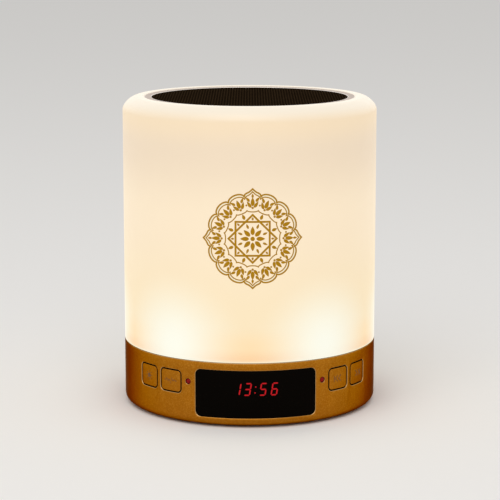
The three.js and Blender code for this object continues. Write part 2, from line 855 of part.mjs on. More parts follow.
function makeSurround() {
  const middle = (surroundOuterRoot + surroundInnerRoot) / 2;
  const top = surroundBottom + surroundThickness;
  const inside = [];
  const outside = [];
  const start = Math.asin(surroundThickness / (surroundRoll + surroundThickness));
  for (let step = 0; step <= surroundSteps; step += 1) {
    const turn = Math.PI * (step / surroundSteps);
    inside.push([middle + surroundRoll * Math.cos(turn), surroundBottom + surroundRoll * Math.sin(turn)]);
    const lifted = Math.PI - start - (Math.PI - 2 * start) * (step / surroundSteps);
    const reach = surroundRoll + surroundThickness;
    outside.push([middle + reach * Math.cos(lifted), surroundBottom + reach * Math.sin(lifted)]);
  }
  return lathe([
    [surroundRim, surroundBottom],
    ...inside,
    [surroundInnerRoot - coneRimWidth, surroundBottom],
    [surroundInnerRoot - coneRimWidth, top],
    ...outside,
    [surroundRim, top],
  ], innerSides);
}

function makeCone() {
  const rimInside = surroundInnerRoot - coneRimWidth;
  return lathe([
    [coneNeck, coneNeckBottom],
    [rimInside, flangeTop - coneWall],
    [surroundInnerRoot, flangeTop - coneWall],
    [surroundInnerRoot, flangeTop],
    [rimInside - coneWall / 2, flangeTop],
    [coneNeck, coneNeckBottom + coneWall],
  ], innerSides);
}

function coneFace(ring) {
  const rimInside = surroundInnerRoot - coneRimWidth - coneWall / 2;
  const share = (ring - coneNeck) / (rimInside - coneNeck);
  return coneNeckBottom + coneWall + share * (coneDepth - coneWall);
}

function makeDustCap() {
  const ball = (dustCapRadius ** 2 + dustCapHeight ** 2) / (2 * dustCapHeight);
  const bottom = coneFace(dustCapRadius) + dustCapWall;
  const middle = bottom + dustCapHeight - ball;
  const span = Math.asin(dustCapRadius / ball);
  const dome = (reach) => [...Array(dustCapSteps + 1).keys()].map((step) => {
    const turn = span * (step / dustCapSteps);
    return [reach * Math.sin(turn), middle + reach * Math.cos(turn)];
  });
  return lathe([...dome(ball), ...dome(ball - dustCapWall).reverse()], innerSides);
}

function makeCoil() {
  return tube(coilOuter, coilInner, coilBottom, coilBottom + coilLength, innerSides);
}

function makeSpider() {
  const bottom = basketFloor + basketWall + spiderRise;
  const slope = (basketMouth - basketFloorRadius) / (flangeTop - basketFloor - basketWall);
  const outer = basketFloorRadius - basketWall + slope * spiderRise - fitGap;
  const steps = 4 * spiderWaves;
  const under = [];
  for (let step = 0; step <= steps; step += 1) {
    const share = step / steps;
    under.push([
      coneNeck + share * (outer - coneNeck),
      bottom + spiderWave * Math.sin(2 * Math.PI * spiderWaves * share),
    ]);
  }
  const over = under.map(([ring, height]) => [ring, height + spiderThickness]).reverse();
  return lathe([...under, ...over], innerSides);
}

function makeTopPlate() {
  return tube(topPlateRadius, topPlateBore, topPlateTop - topPlateThickness, topPlateTop, innerSides);
}

function makeMagnet() {
  return tube(magnetRadius, magnetBore, magnetTop - magnetThickness, magnetTop, innerSides);
}

function makeYoke() {
  const plate = disc(topPlateRadius, yokeBottom, yokeTop, innerSides);
  return plate.add(disc(poleRadius, yokeBottom + yokeThickness / 2, topPlateTop, innerSides));
}

function makeSpeakerScrew() {
  const headBottom = flangeTop + seatGap;
  const head = disc(smallHeadRadius, headBottom, headBottom + smallHeadHeight, smallSides);
  const shankTop = headBottom + smallHeadHeight / 2;
  return head.add(disc(smallScrewRadius, baffleBottom + smallScrewTip, shankTop, smallSides));
}

// Battery and its holder

function makeHolder() {
  const half = holderHalfLength;
  const form = block(-half, half, holderFront, holderRear, holderBottom, cellMiddleZ);
  return cut(form, lyingBar(cellRadius + fitGap, cellHalfLength + fitGap));
}

function lyingBar(rim, halfLength) {
  const form = new THREE.CylinderGeometry(rim, rim, 2 * halfLength, innerSides).rotateZ(Math.PI / 2);
  return solid(form.translate(0, cellMiddleY, cellMiddleZ));
}

function makeCell() {
  const can = lyingBar(cellRadius, cellHalfLength - cellTipLength);
  return can.add(lyingBar(cellTipRadius, cellHalfLength));
}

// Main board with its soldered parts

const speakerPlug = [0, mainBoardFront + plugWidth];
const batteryPlug = [plugWidth - mainBoardHalfWidth, mainBoardFront + plugWidth];
const touchLeadAngle = 205;
const touchPlug = ringPoint(tubeFlange + leadLane / 2, touchLeadAngle);

function makeMainBoard() {
  const shape = new THREE.Shape();
  const corner = Math.atan2(mainBoardCorner, mainBoardHalfWidth);
  shape.moveTo(-mainBoardHalfWidth, mainBoardFront);
  shape.lineTo(mainBoardHalfWidth, mainBoardFront);
  shape.absarc(0, 0, mainBoardRear, corner, Math.PI - corner);
  const sheet = new THREE.ExtrudeGeometry(shape, { depth: boardThickness, bevelEnabled: false });
  const board = solid(sheet.translate(0, 0, mainBoardBottom));

  const seat = mainBoardTop - solderSink;
  const chipY = (mainBoardFront + portReach(cardX + cardWidth / 2) - cardDepth) / 2;
  const [half, plug] = [chipSize / 2, plugWidth / 2];
  const chips = [-chipSpacing / 2, chipSpacing / 2].map((x) =>
    block(x - half, x + half, chipY - half, chipY + half, seat, mainBoardTop + chipHeight));
  const capacitors = mirrored([mainBoardHalfWidth - 2 * capacitorRadius]).map((x) =>
    disc(capacitorRadius, seat, mainBoardTop + capacitorHeight, smallSides).translate([x, chipY, 0]));
  const plugs = [speakerPlug, batteryPlug, touchPlug].map(([x, y]) =>
    block(x - plug, x + plug, y - plug, y + plug, seat, mainBoardTop + plugHeight));
  return joined(board, ...chips, ...capacitors, ...plugs);
}

// Ports along the rear edge

function makeChargeSocket() {
  const reach = portReach(Math.abs(chargeX) + chargeWidth / 2);
  const middle = portSeat + chargeHeight / 2;
  const wide = chargeWidth - 2 * chargeWall;
  const high = chargeHeight - 2 * chargeWall;
  const shell = upright(chargeWidth, chargeHeight, chargeHeight / 3, middle, reach - chargeDepth, reach);
  const hollow = upright(wide, high, high / 3, middle, reach - chargeDepth + chargeBack, reach + overrun);
  const root = reach - chargeDepth + chargeBack / 2;
  const tongue = upright(tongueWidth, tongueHeight, tongueHeight / 3, middle, root, root + tongueLength);
  return joined(cut(shell, hollow), tongue).rotate([0, 0, 180]).translate([chargeX, 0, 0]);
}

function makeCardSocket() {
  const reach = portReach(cardX + cardWidth / 2);
  const middle = portSeat + cardHeight / 2;
  const half = cardWidth / 2;
  const shell = block(-half, half, -reach, cardDepth - reach, portSeat, portSeat + cardHeight);
  const corner = cardSlotHeight / 4;
  const inner = reach - cardSlotDepth;
  const slot = upright(cardSlotWidth, cardSlotHeight, corner, middle, inner, reach + overrun);
  return cut(shell, slot).rotate([0, 0, 180]).translate([cardX, 0, 0]);
}

function makeSoundSocket() {
  const reach = portReach(Math.abs(soundX) + soundNoseRadius);
  const middle = portSeat + soundHeight / 2;
  const half = soundWidth / 2;
  const back = reach - soundNose;
  const body = block(-half, half, -back, soundDepth - back, portSeat, portSeat + soundHeight);
  const nose = bar(soundNoseRadius, middle, back - solderSink, reach, smallSides);
  const bore = bar(soundBore, middle, reach - soundBoreDepth, reach + overrun, smallSides);
  return cut(body.add(nose), bore).rotate([0, 0, 180]).translate([soundX, 0, 0]);
}

const powerFace = portReach(powerWidth / 2);
const powerMiddle = portSeat + powerHeight / 2;

function makePowerSwitch() {
  const half = powerWidth / 2;
  const body = block(-half, half, powerFace - powerDepth, powerFace, portSeat, portSeat + powerHeight);
  const slotHalf = (knobWidth + powerTravel) / 2 + fitGap;
  const slotHigh = knobHeight / 2 + fitGap;
  const slotFront = powerFace - powerSlotDepth;
  const [low, high] = [powerMiddle - slotHigh, powerMiddle + slotHigh];
  return cut(body, block(-slotHalf, slotHalf, slotFront, powerFace + overrun, low, high));
}

function makePowerKnob() {
  const middle = powerTravel / 2;
  const half = knobWidth / 2;
  const high = knobHeight / 2;
  const front = powerFace - knobInside;
  const back = Math.sqrt(radius ** 2 - (middle + half) ** 2) - knobSink;
  return block(middle - half, middle + half, front, back, powerMiddle - high, powerMiddle + high);
}

// Leads, each along its own route

function makeSpeakerLead() {
  const [x, y] = speakerPlug;
  const lane = tubeInner - leadRadius - leadLift;
  const beside = magnetRadius + leadRadius + leadLift;
  return lead([
    [x, basketFloorRadius + leadRadius + leadLift, basketFloor],
    [x, beside, magnetTop],
    [x, beside, yokeTop],
    [x, lane, yokeBottom - funnelRoom],
    [x, lane, yokeBottom - 2 * funnelRoom],
    [x, lane, (yokeBottom + tubeBottom) / 2],
    [x, lane, tubeBottom + 2 * funnelRoom],
    [x, lane, tubeBottom + tubeFlangeHeight],
    [x, y + plugWidth / 2, chassisBottom],
    [x, y, mainBoardTop + plugHeight + seatGap],
  ]);
}

function makeTouchLead() {
  const along = (ring, height) => [...ringPoint(ring, touchLeadAngle), height];
  const beside = leadRadius + leadLift;
  const funnelBottom = yokeBottom - funnelRoom;
  const funnelTop = baffleBottom - funnelRise;
  const lane = tubeFlange + leadLane / 2;
  return lead([
    along((skirtInner + skirtOuter) / 2 + leadRadius / 2, ringUnder - skirtDrop - seatGap),
    along(collarOuter + beside, baffleTop),
    along(collarOuter + beside, funnelTop),
    along(tubeRadius + 2 * beside, funnelBottom),
    along(tubeRadius + beside, funnelBottom - funnelRoom),
    along(tubeRadius + beside, (funnelBottom + tubeBottom) / 2),
    along(tubeRadius + beside, tubeBottom + 4 * tubeFlangeWidth),
    along(tubeRadius + beside, tubeBottom + 2 * tubeFlangeWidth),
    along(lane, tubeBottom + tubeFlangeHeight),
    along(lane, chassisBottom),
    along(lane, mainBoardTop + plugHeight + seatGap),
  ]);
}

function makeBatteryLead() {
  const [x, y] = batteryPlug;
  const height = mainBoardTop + plugHeight / 2;
  const side = x - plugWidth / 2 - seatGap;
  const out = side - plugWidth;
  const start = holderEnd + 2 * leadRadius - holderHalfLength;
  return lead([
    [start, holderRear + seatGap, height],
    [start, holderRear + leadRadius + plugWidth / 2, height],
    [out, y, height],
    [side, y, height],
  ]);
}

// Assembly

const lamp = new THREE.Group();

lamp.add(
  piece("shade", makeShade(), finishes.milky),
  piece("touch_ring", makeTouchRing(), finishes.silver),
  piece("speaker_grille", makeGrille(), finishes.blackMetal),
  piece("base_ring", makeBaseRing(), finishes.gold),
  piece("bottom_cover", makeCover(), finishes.blackPlastic),
  piece("clock_window", makeWindow(), finishes.blackGloss),
  piece("clock_display", makeDisplay(), finishes.blackPlastic),
);

footAngles.forEach((angle, at) => {
  const foot = piece(`foot_${at + 1}`, makeFoot(), finishes.rubber);
  foot.position.set(...ringPoint(footRing, angle), 0);
  lamp.add(foot);
});

postAngles.forEach((angle, at) => {
  const screw = piece(`base_screw_${at + 1}`, makeLongScrew(), finishes.zincSteel);
  screw.position.set(...ringPoint(postRing, angle), 0);
  lamp.add(screw);
});

const keys = [
  ["mode", -outerKeyAngle],
  ["effects", -innerKeyAngle],
  ["previous", innerKeyAngle],
  ["next", outerKeyAngle],
];
keys.forEach(([use, angle]) => {
  lamp.add(turned(
    angle,
    piece(`${use}_key`, makeKey(), finishes.gold),
    piece(`${use}_plunger`, makePlunger(), finishes.blackPlastic),
    piece(`${use}_switch`, makeSwitch(), finishes.zincSteel),
  ));
});

const sides = [
  ["left", -1],
  ["right", 1],
];
sides.forEach(([side, way]) => {
  lamp.add(
    turned(way * lensAngle, piece(`${side}_indicator`, makeLens(), finishes.redLens)),
    turned(way * keyBoardAngle, piece(`${side}_key_board`, makeKeyBoard(), finishes.board)),
  );
});

lamp.add(
  piece("chassis_plate", makeChassis(), finishes.whitePlastic),
  piece("light_board", makeLightBoard(), finishes.whiteBoard),
  piece("core_tube", makeCoreTube(), finishes.whitePlastic),
  piece("speaker_ring", makeSpeakerRing(), finishes.whitePlastic),
);

lamp.add(
  piece("speaker_basket", makeBasket(), finishes.zincSteel),
  piece("speaker_gasket", makeGasket(), finishes.foam),
  piece("speaker_surround", makeSurround(), finishes.rubber),
  piece("speaker_cone", makeCone(), finishes.paperCone),
  piece("dust_cap", makeDustCap(), finishes.paperCone),
  piece("voice_coil", makeCoil(), finishes.copper),
  piece("speaker_spider", makeSpider(), finishes.cloth),
  piece("top_plate", makeTopPlate(), finishes.zincSteel),
  piece("magnet", makeMagnet(), finishes.ferrite),
  piece("yoke", makeYoke(), finishes.zincSteel),
);

speakerScrewAngles.forEach((angle, at) => {
  const screw = piece(`speaker_screw_${at + 1}`, makeSpeakerScrew(), finishes.zincSteel);
  screw.position.set(...ringPoint(flangeRadius - smallScrewInset, angle), 0);
  lamp.add(screw);
});

lamp.add(
  piece("battery_holder", makeHolder(), finishes.blackPlastic),
  piece("battery_cell", makeCell(), finishes.cellWrap),
  piece("main_board", makeMainBoard(), finishes.board),
  piece("charge_socket", makeChargeSocket(), finishes.zincSteel),
  piece("card_socket", makeCardSocket(), finishes.zincSteel),
  piece("sound_socket", makeSoundSocket(), finishes.blackPlastic),
  piece("power_switch", makePowerSwitch(), finishes.zincSteel),
  piece("power_knob", makePowerKnob(), finishes.blackPlastic),
  piece("speaker_lead", makeSpeakerLead(), finishes.redLead),
  piece("touch_lead", makeTouchLead(), finishes.greyLead),
  piece("battery_lead", makeBatteryLead(), finishes.redLead),
);

export default lamp;
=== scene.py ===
"""A round touch lamp with a speaker in its top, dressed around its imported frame.

Metres, +Z up. The clock window faces -Y. Angles are counted from the front, positive towards +X.
A flat piece is modelled upright, with x as the arc along the lamp's wall and -y as the distance
from the lamp's axis, and is then wrapped round that axis.
"""

import logging
import math
from contextlib import contextmanager
from dataclasses import dataclass, field, replace
from enum import Enum
from typing import Callable, Iterator, Sequence

import bpy
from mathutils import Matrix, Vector


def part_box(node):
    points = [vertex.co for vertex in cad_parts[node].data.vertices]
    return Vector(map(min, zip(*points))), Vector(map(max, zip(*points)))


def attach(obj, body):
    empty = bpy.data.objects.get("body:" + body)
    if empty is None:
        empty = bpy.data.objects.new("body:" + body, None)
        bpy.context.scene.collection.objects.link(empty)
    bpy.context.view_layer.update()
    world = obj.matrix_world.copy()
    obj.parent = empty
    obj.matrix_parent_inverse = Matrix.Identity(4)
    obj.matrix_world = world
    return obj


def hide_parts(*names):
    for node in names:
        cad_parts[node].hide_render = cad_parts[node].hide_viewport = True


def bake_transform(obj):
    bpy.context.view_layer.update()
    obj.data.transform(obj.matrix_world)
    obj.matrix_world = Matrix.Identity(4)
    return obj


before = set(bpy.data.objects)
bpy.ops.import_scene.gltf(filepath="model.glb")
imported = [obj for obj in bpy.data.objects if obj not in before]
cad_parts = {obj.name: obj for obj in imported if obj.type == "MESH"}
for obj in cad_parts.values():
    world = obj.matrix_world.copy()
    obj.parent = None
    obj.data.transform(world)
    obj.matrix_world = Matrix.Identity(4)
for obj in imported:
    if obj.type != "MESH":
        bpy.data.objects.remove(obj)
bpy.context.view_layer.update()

MM = 0.001
TURN = 2 * math.pi
WELD = 0.0005 * MM  # vertices closer than this are one
EDGE_MIDDLE = 0.3  # how far a rounded edge's middle stands in, in radii
SHARP_EDGE = 50  # degrees; edges sharper than this are rounded by a bevel
SOFT_EDGE = 60  # degrees; on soft forms, edges less sharp than this are shaded smooth
SETS_OF_FOUR = range(1, 5)  # the numbers of the feet, and of each kind of screw
COLOUR_A, COLOUR_B, COLOUR_OUT = 6, 7, 2  # the sockets of a mix node that hold colours
LONGEST_MITRE = 2.0  # how far an offset outline's corner may reach, in offsets
HOUSING = "housing"

LOG = logging.getLogger("lamp")

Point = tuple[float, float, float]
Flat = tuple[float, float]
Mesh = bpy.types.Object
Socket = bpy.types.NodeSocket
Tree = bpy.types.NodeTree


def linear(hex_colour: str) -> tuple[float, float, float, float]:
    """Turn an sRGB hex colour to the linear colour of a socket.

    Args:
        hex_colour: The colour as six hex digits.

    Returns:
        Red, green, blue and alpha, linear.
    """
    channels = [int(hex_colour[at:at + 2], 16) / 255 for at in (0, 2, 4)]
    straight = [c / 12.92 if c <= 0.04045 else ((c + 0.055) / 1.055) ** 2.4 for c in channels]
    return (*straight, 1.0)


def add_node(tree: Tree, kind: str, inputs: dict | None = None, **settings) -> bpy.types.Node:
    """Add a node to a tree with its settings, its values and its links.

    Args:
        tree: The node tree.
        kind: The node's type.
        inputs: A value or another node's output for each named or numbered input.
        **settings: The node's own options.

    Returns:
        The new node.
    """
    node = tree.nodes.new(kind)
    for name, value in settings.items():
        setattr(node, name, value)
    for name, value in (inputs or {}).items():
        if isinstance(value, Socket):
            tree.links.new(value, node.inputs[name])
        else:
            node.inputs[name].default_value = value
    return node


class Bench:
    """The mesh operators that shape every new piece."""

    @staticmethod
    def clear() -> None:
        """Leave edit mode and deselect everything."""
        if bpy.context.object is not None and bpy.context.object.mode != "OBJECT":
            bpy.ops.object.mode_set(mode="OBJECT")
        bpy.ops.object.select_all(action="DESELECT")

    @staticmethod
    def take(piece: Mesh) -> None:
        """Select one piece alone and make it active.

        Args:
            piece: The piece.
        """
        Bench.clear()
        piece.select_set(True)
        bpy.context.view_layer.objects.active = piece

    @staticmethod
    @contextmanager
    def editing(piece: Mesh) -> Iterator[None]:
        """Hold a piece in edit mode with its whole mesh selected.

        Args:
            piece: The piece.

        Returns:
            The context in which it is edited.
        """
        Bench.take(piece)
        bpy.ops.object.mode_set(mode="EDIT")
        bpy.ops.mesh.select_all(action="SELECT")
        yield
        bpy.ops.object.mode_set(mode="OBJECT")

    @staticmethod
    def rename(piece: Mesh, name: str) -> None:
        """Give a piece and its mesh a name."""
        piece.name = piece.data.name = name

    @staticmethod
    def outline(name: str, points: Sequence[Point], filled: bool = False) -> Mesh:
        """Lay a closed outline, a circle whose points are moved to their places.

        Args:
            name: The piece's name.
            points: The outline's corners in order.
            filled: Whether a face spans the outline.

        Returns:
            The outline's object.
        """
        Bench.clear()
        bpy.ops.mesh.primitive_circle_add(vertices=len(points), fill_type="NGON" if filled else "NOTHING")
        piece = bpy.context.object
        Bench.rename(piece, name)
        for vertex, point in zip(piece.data.vertices, points):
            vertex.co = point
        return piece

    @staticmethod
    def choose(piece: Mesh, test: Callable[[Vector, Vector], bool]) -> None:
        """Select the faces that pass a test, for the next operator in edit mode.

        Args:
            piece: The piece, in object mode.
            test: Says of a face's centre and normal whether it is wanted.
        """
        Bench.take(piece)
        mesh = piece.data
        mesh.vertices.foreach_set("select", [False] * len(mesh.vertices))
        mesh.edges.foreach_set("select", [False] * len(mesh.edges))
        for polygon in mesh.polygons:
            polygon.select = test(polygon.center, polygon.normal)

    @staticmethod
    def drop_faces(piece: Mesh, test: Callable[[Vector, Vector], bool]) -> None:
        """Delete the faces that pass a test.

        Args:
            piece: The piece.
            test: Says of a face's centre and normal whether it goes.
        """
        Bench.choose(piece, test)
        bpy.ops.object.mode_set(mode="EDIT")
        bpy.ops.mesh.select_mode(type="FACE")
        bpy.ops.mesh.delete(type="FACE")
        bpy.ops.object.mode_set(mode="OBJECT")

    @staticmethod
    def tidy(piece: Mesh) -> None:
        """Weld doubled points and turn every face outwards.

        Args:
            piece: The piece.
        """
        with Bench.editing(piece):
            bpy.ops.mesh.remove_doubles(threshold=WELD)
            bpy.ops.mesh.normals_make_consistent(inside=False)

    @staticmethod
    def lathe(name: str, profile: Sequence[Flat], steps: int) -> Mesh:
        """Spin a closed profile round the lamp's axis.

        Args:
            name: The piece's name.
            profile: Distance from the axis and height of each corner.
            steps: How many steps the full turn has.

        Returns:
            The turned piece.
        """
        piece = Bench.outline(name, [(across, 0, up) for across, up in profile])
        with Bench.editing(piece):
            bpy.ops.mesh.spin(steps=steps, angle=TURN, center=(0, 0, 0), axis=(0, 0, 1))
        Bench.tidy(piece)
        return piece

    @staticmethod
    def plate(name: str, points: Sequence[Flat], near: float, far: float) -> Mesh:
        """Extrude an upright outline along Y.

        Args:
            name: The piece's name.
            points: Place along X and height of each corner.
            near: Y of the front face.
            far: Y of the back face.

        Returns:
            The plate.
        """
        piece = Bench.outline(name, [(x, near, z) for x, z in points], filled=True)
        with Bench.editing(piece):
            bpy.ops.mesh.extrude_region_move(TRANSFORM_OT_translate={"value": (0, far - near, 0)})
        Bench.tidy(piece)
        return piece

    @staticmethod
    def settle(piece: Mesh) -> None:
        """Move a piece's place, turn and scale into its mesh."""
        Bench.take(piece)
        bpy.ops.object.transform_apply(location=True, rotation=True, scale=True)

    @staticmethod
    def move(piece: Mesh, offset: Point) -> None:
        """Shift a piece's mesh."""
        with Bench.editing(piece):
            bpy.ops.transform.translate(value=offset)

    @staticmethod
    def turn(piece: Mesh, angle: float, axis: str = "Z") -> None:
        """Turn a piece about an axis.

        Args:
            piece: The piece, with its place in its mesh.
            angle: The turn in radians, counter-clockwise seen along the axis towards the origin.
            axis: The axis.
        """
        Bench.take(piece)
        bpy.ops.transform.rotate(value=-angle, orient_axis=axis, center_override=(0, 0, 0))
        Bench.settle(piece)

    @staticmethod
    def apply(piece: Mesh, kind: str, **settings) -> None:
        """Add a modifier with its settings and apply it.

        Args:
            piece: The piece.
            kind: The modifier's type.
            **settings: The modifier's settings.
        """
        Bench.take(piece)
        modifier = piece.modifiers.new(kind.title(), kind)
        for name, value in settings.items():
            setattr(modifier, name, value)
        bpy.ops.object.modifier_apply(modifier=modifier.name)

    @staticmethod
    def bevel(piece: Mesh, width: float, segments: int) -> None:
        """Round the sharp edges."""
        Bench.apply(piece, "BEVEL", width=width, segments=segments, limit_method="ANGLE",
                    angle_limit=math.radians(SHARP_EDGE), use_clamp_overlap=True)

    @staticmethod
    def row(piece: Mesh, count: int, offset: Point) -> None:
        """Repeat a piece in a row, each copy shifted on by an offset."""
        Bench.apply(piece, "ARRAY", count=count, use_relative_offset=False, use_constant_offset=True,
                    constant_offset_displace=offset)

    @staticmethod
    def cut(piece: Mesh, *cutters: Mesh) -> None:
        """Cut a piece with each cutter, and remove the cutters.

        Args:
            piece: The piece.
            *cutters: The cutters.
        """
        for cutter in cutters:
            Bench.apply(piece, "BOOLEAN", operation="DIFFERENCE", object=cutter, solver="EXACT")
            bpy.data.objects.remove(cutter)

    @staticmethod
    def join(first: Mesh, *others: Mesh) -> Mesh:
        """Join pieces into the first one.

        Args:
            first: The piece that is added to.
            *others: The pieces that are added.

        Returns:
            The first piece.
        """
        Bench.take(first)
        for other in others:
            other.select_set(True)
        if others:
            bpy.ops.object.join()
        return first

    @staticmethod
    def copy(piece: Mesh, name: str) -> Mesh:
        """Copy a piece with its own mesh.

        Args:
            piece: The piece.
            name: The copy's name.

        Returns:
            The copy.
        """
        twin = piece.copy()
        twin.data = piece.data.copy()
        Bench.rename(twin, name)
        bpy.context.collection.objects.link(twin)
        return twin

    @staticmethod
    def slice(piece: Mesh, start: float, end: float, count: int) -> None:
        """Cut a flat piece into upright strips, so that it can be wrapped.

        Args:
            piece: The flat piece.
            start: X of its left end.
            end: X of its right end.
            count: How many strips it gets.
        """
        with Bench.editing(piece):
            for step in range(1, count):
                bpy.ops.mesh.select_all(action="SELECT")
                place = start + (end - start) * step / count
                bpy.ops.mesh.bisect(plane_co=(place, 0, 0), plane_no=(1, 0, 0))

    @staticmethod
    def smooth(piece: Mesh, sharper_than: float = 40) -> None:
        """Shade a piece smooth, and keep its sharp edges."""
        Bench.take(piece)
        bpy.ops.object.shade_smooth_by_angle(angle=math.radians(sharper_than))


def arc(middle: Flat, radius: float, start: float, end: float, steps: int,
        tall: float | None = None) -> list[Flat]:
    """Give the points of an arc, or of a part of an ellipse.

    Args:
        middle: Its centre.
        radius: Its radius, or the ellipse's first one.
        start: Where it starts, in radians counter-clockwise.
        end: Where it ends.
        steps: How many steps it has.
        tall: The ellipse's second radius.

    Returns:
        Its points, with both ends.
    """
    rise = radius if tall is None else tall
    turns = [start + (end - start) * step / steps for step in range(steps + 1)]
    return [(middle[0] + radius * math.cos(turn), middle[1] + rise * math.sin(turn)) for turn in turns]


def circle(radius: float, middle: Flat, sides: int) -> list[Flat]:
    """Give the corners of a regular polygon."""
    return arc(middle, radius, 0, TURN, sides)[:-1]


def rounded(width: float, height: float, corner: float, middle: Flat, steps: int = 6) -> list[Flat]:
    """Give the outline of a rounded rectangle.

    Args:
        width: Its width.
        height: Its height.
        corner: Radius of its corners.
        middle: Its centre.
        steps: Steps in each corner.

    Returns:
        The corners, counter-clockwise.
    """
    points = []
    for quarter, (side, up) in enumerate(((1, 1), (-1, 1), (-1, -1), (1, -1))):
        centre = (middle[0] + side * (width / 2 - corner), middle[1] + up * (height / 2 - corner))
        points += arc(centre, corner, TURN / 4 * quarter, TURN / 4 * (quarter + 1), steps)
    return points


def placed(points: Sequence[Flat], middle: Flat = (0, 0), turn: float = 0.0) -> list[Flat]:
    """Turn flat points about the origin, and then shift them.

    Args:
        points: The points.
        middle: Where the origin comes to lie.
        turn: The turn in radians, counter-clockwise.

    Returns:
        As many points.
    """
    cos, sin = math.cos(turn), math.sin(turn)
    return [(middle[0] + x * cos - y * sin, middle[1] + x * sin + y * cos) for x, y in points]


def from_mm(points: Sequence[Flat]) -> list[Flat]:
    """Turn flat points in mm into metres."""
    return [(x * MM, y * MM) for x, y in points]


@dataclass
class Body:
    """The lamp's outer form, read from the frame."""

    radius: float = field(default_factory=lambda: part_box("base_ring")[1].x)
    base_bottom: float = field(default_factory=lambda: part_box("base_ring")[0].z)
    base_top: float = field(default_factory=lambda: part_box("base_ring")[1].z)
    spigot_bottom: float = field(default_factory=lambda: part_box("shade")[0].z)
    top: float = field(default_factory=lambda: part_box("shade")[1].z)
    seam: float = 29.2 * MM  # lower edge of the shade's wall
    wall: float = 2.4 * MM
    strips: int = 240
    lip_outer: float = 54.8 * MM  # face of the lips that stand behind the wall
    lip_inner: float = 53.4 * MM  # and their back
    plate_edge_steps: int = 3

    @property
    def inner(self) -> float:
        """Radius of the inside of the base's wall."""
        return self.radius - self.wall

    @property
    def round_length(self) -> float:
        """Length of the lamp's outer wall, unrolled."""
        return TURN * self.radius

    def wrap(self, piece: Mesh) -> Mesh:
        """Roll a flat piece round the lamp's axis.

        Args:
            piece: The flat piece.

        Returns:
            The same piece.
        """
        for vertex in piece.data.vertices:
            along, depth, height = vertex.co
            turn = along / self.radius
            vertex.co = (-depth * math.sin(turn), depth * math.cos(turn), height)
        return piece

    def strips_in(self, length: float) -> int:
        """Say how many strips a flat piece of this length needs."""
        return max(2, math.ceil(self.strips * length / self.round_length))

    def curved_plate(self, name: str, points: Sequence[Flat], outer: float, inner: float,
                     edge: float = 0.0) -> Mesh:
        """Make a plate that follows the lamp's wall.

        Args:
            name: The piece's name.
            points: Arc and height of each corner.
            outer: Radius of its face.
            inner: Radius of its back.
            edge: Width of the round along its edges.

        Returns:
            The plate, wrapped.
        """
        piece = Bench.plate(name, points, -outer, -inner)
        if edge:
            Bench.bevel(piece, edge, self.plate_edge_steps)
        start, end = min(points)[0], max(points)[0]
        Bench.slice(piece, start, end, self.strips_in(end - start))
        Bench.tidy(self.wrap(piece))
        return piece

    def lipped_plate(self, name: str, size: Flat, corner: float, middle: Flat, gap: float, lip: float,
                     face: float, edge: float) -> Mesh:
        """Make a plate for an opening in the wall, with lips above and below that stand behind it.

        Args:
            name: The piece's name.
            size: Width and height of the opening.
            corner: Radius of the opening's corners.
            middle: Arc and height of its centre.
            gap: Between the opening and the plate.
            lip: How far each lip stands past the opening.
            face: Radius of the plate's face.
            edge: Width of the round along its edges.

        Returns:
            The plate.
        """
        width, height = size[0] - 2 * gap, size[1]
        shape = rounded(width, height - 2 * gap, corner - gap, middle)
        plate = self.curved_plate(name, shape, face, self.lip_inner, edge)
        lip_shape = rounded(width, height + 2 * lip, corner, middle)
        Bench.join(plate, self.curved_plate(f"{name}_lip", lip_shape, self.lip_outer, self.lip_inner))
        Bench.smooth(plate)
        return plate


def from_axis(tree: Tree, place: Socket) -> Socket:
    """Give the distance from the lamp's axis."""
    flat = add_node(tree, "ShaderNodeVectorMath", {0: place, 1: (1, 1, 0)}, operation="MULTIPLY")
    return add_node(tree, "ShaderNodeVectorMath", {0: flat.outputs[0]}, operation="LENGTH").outputs["Value"]


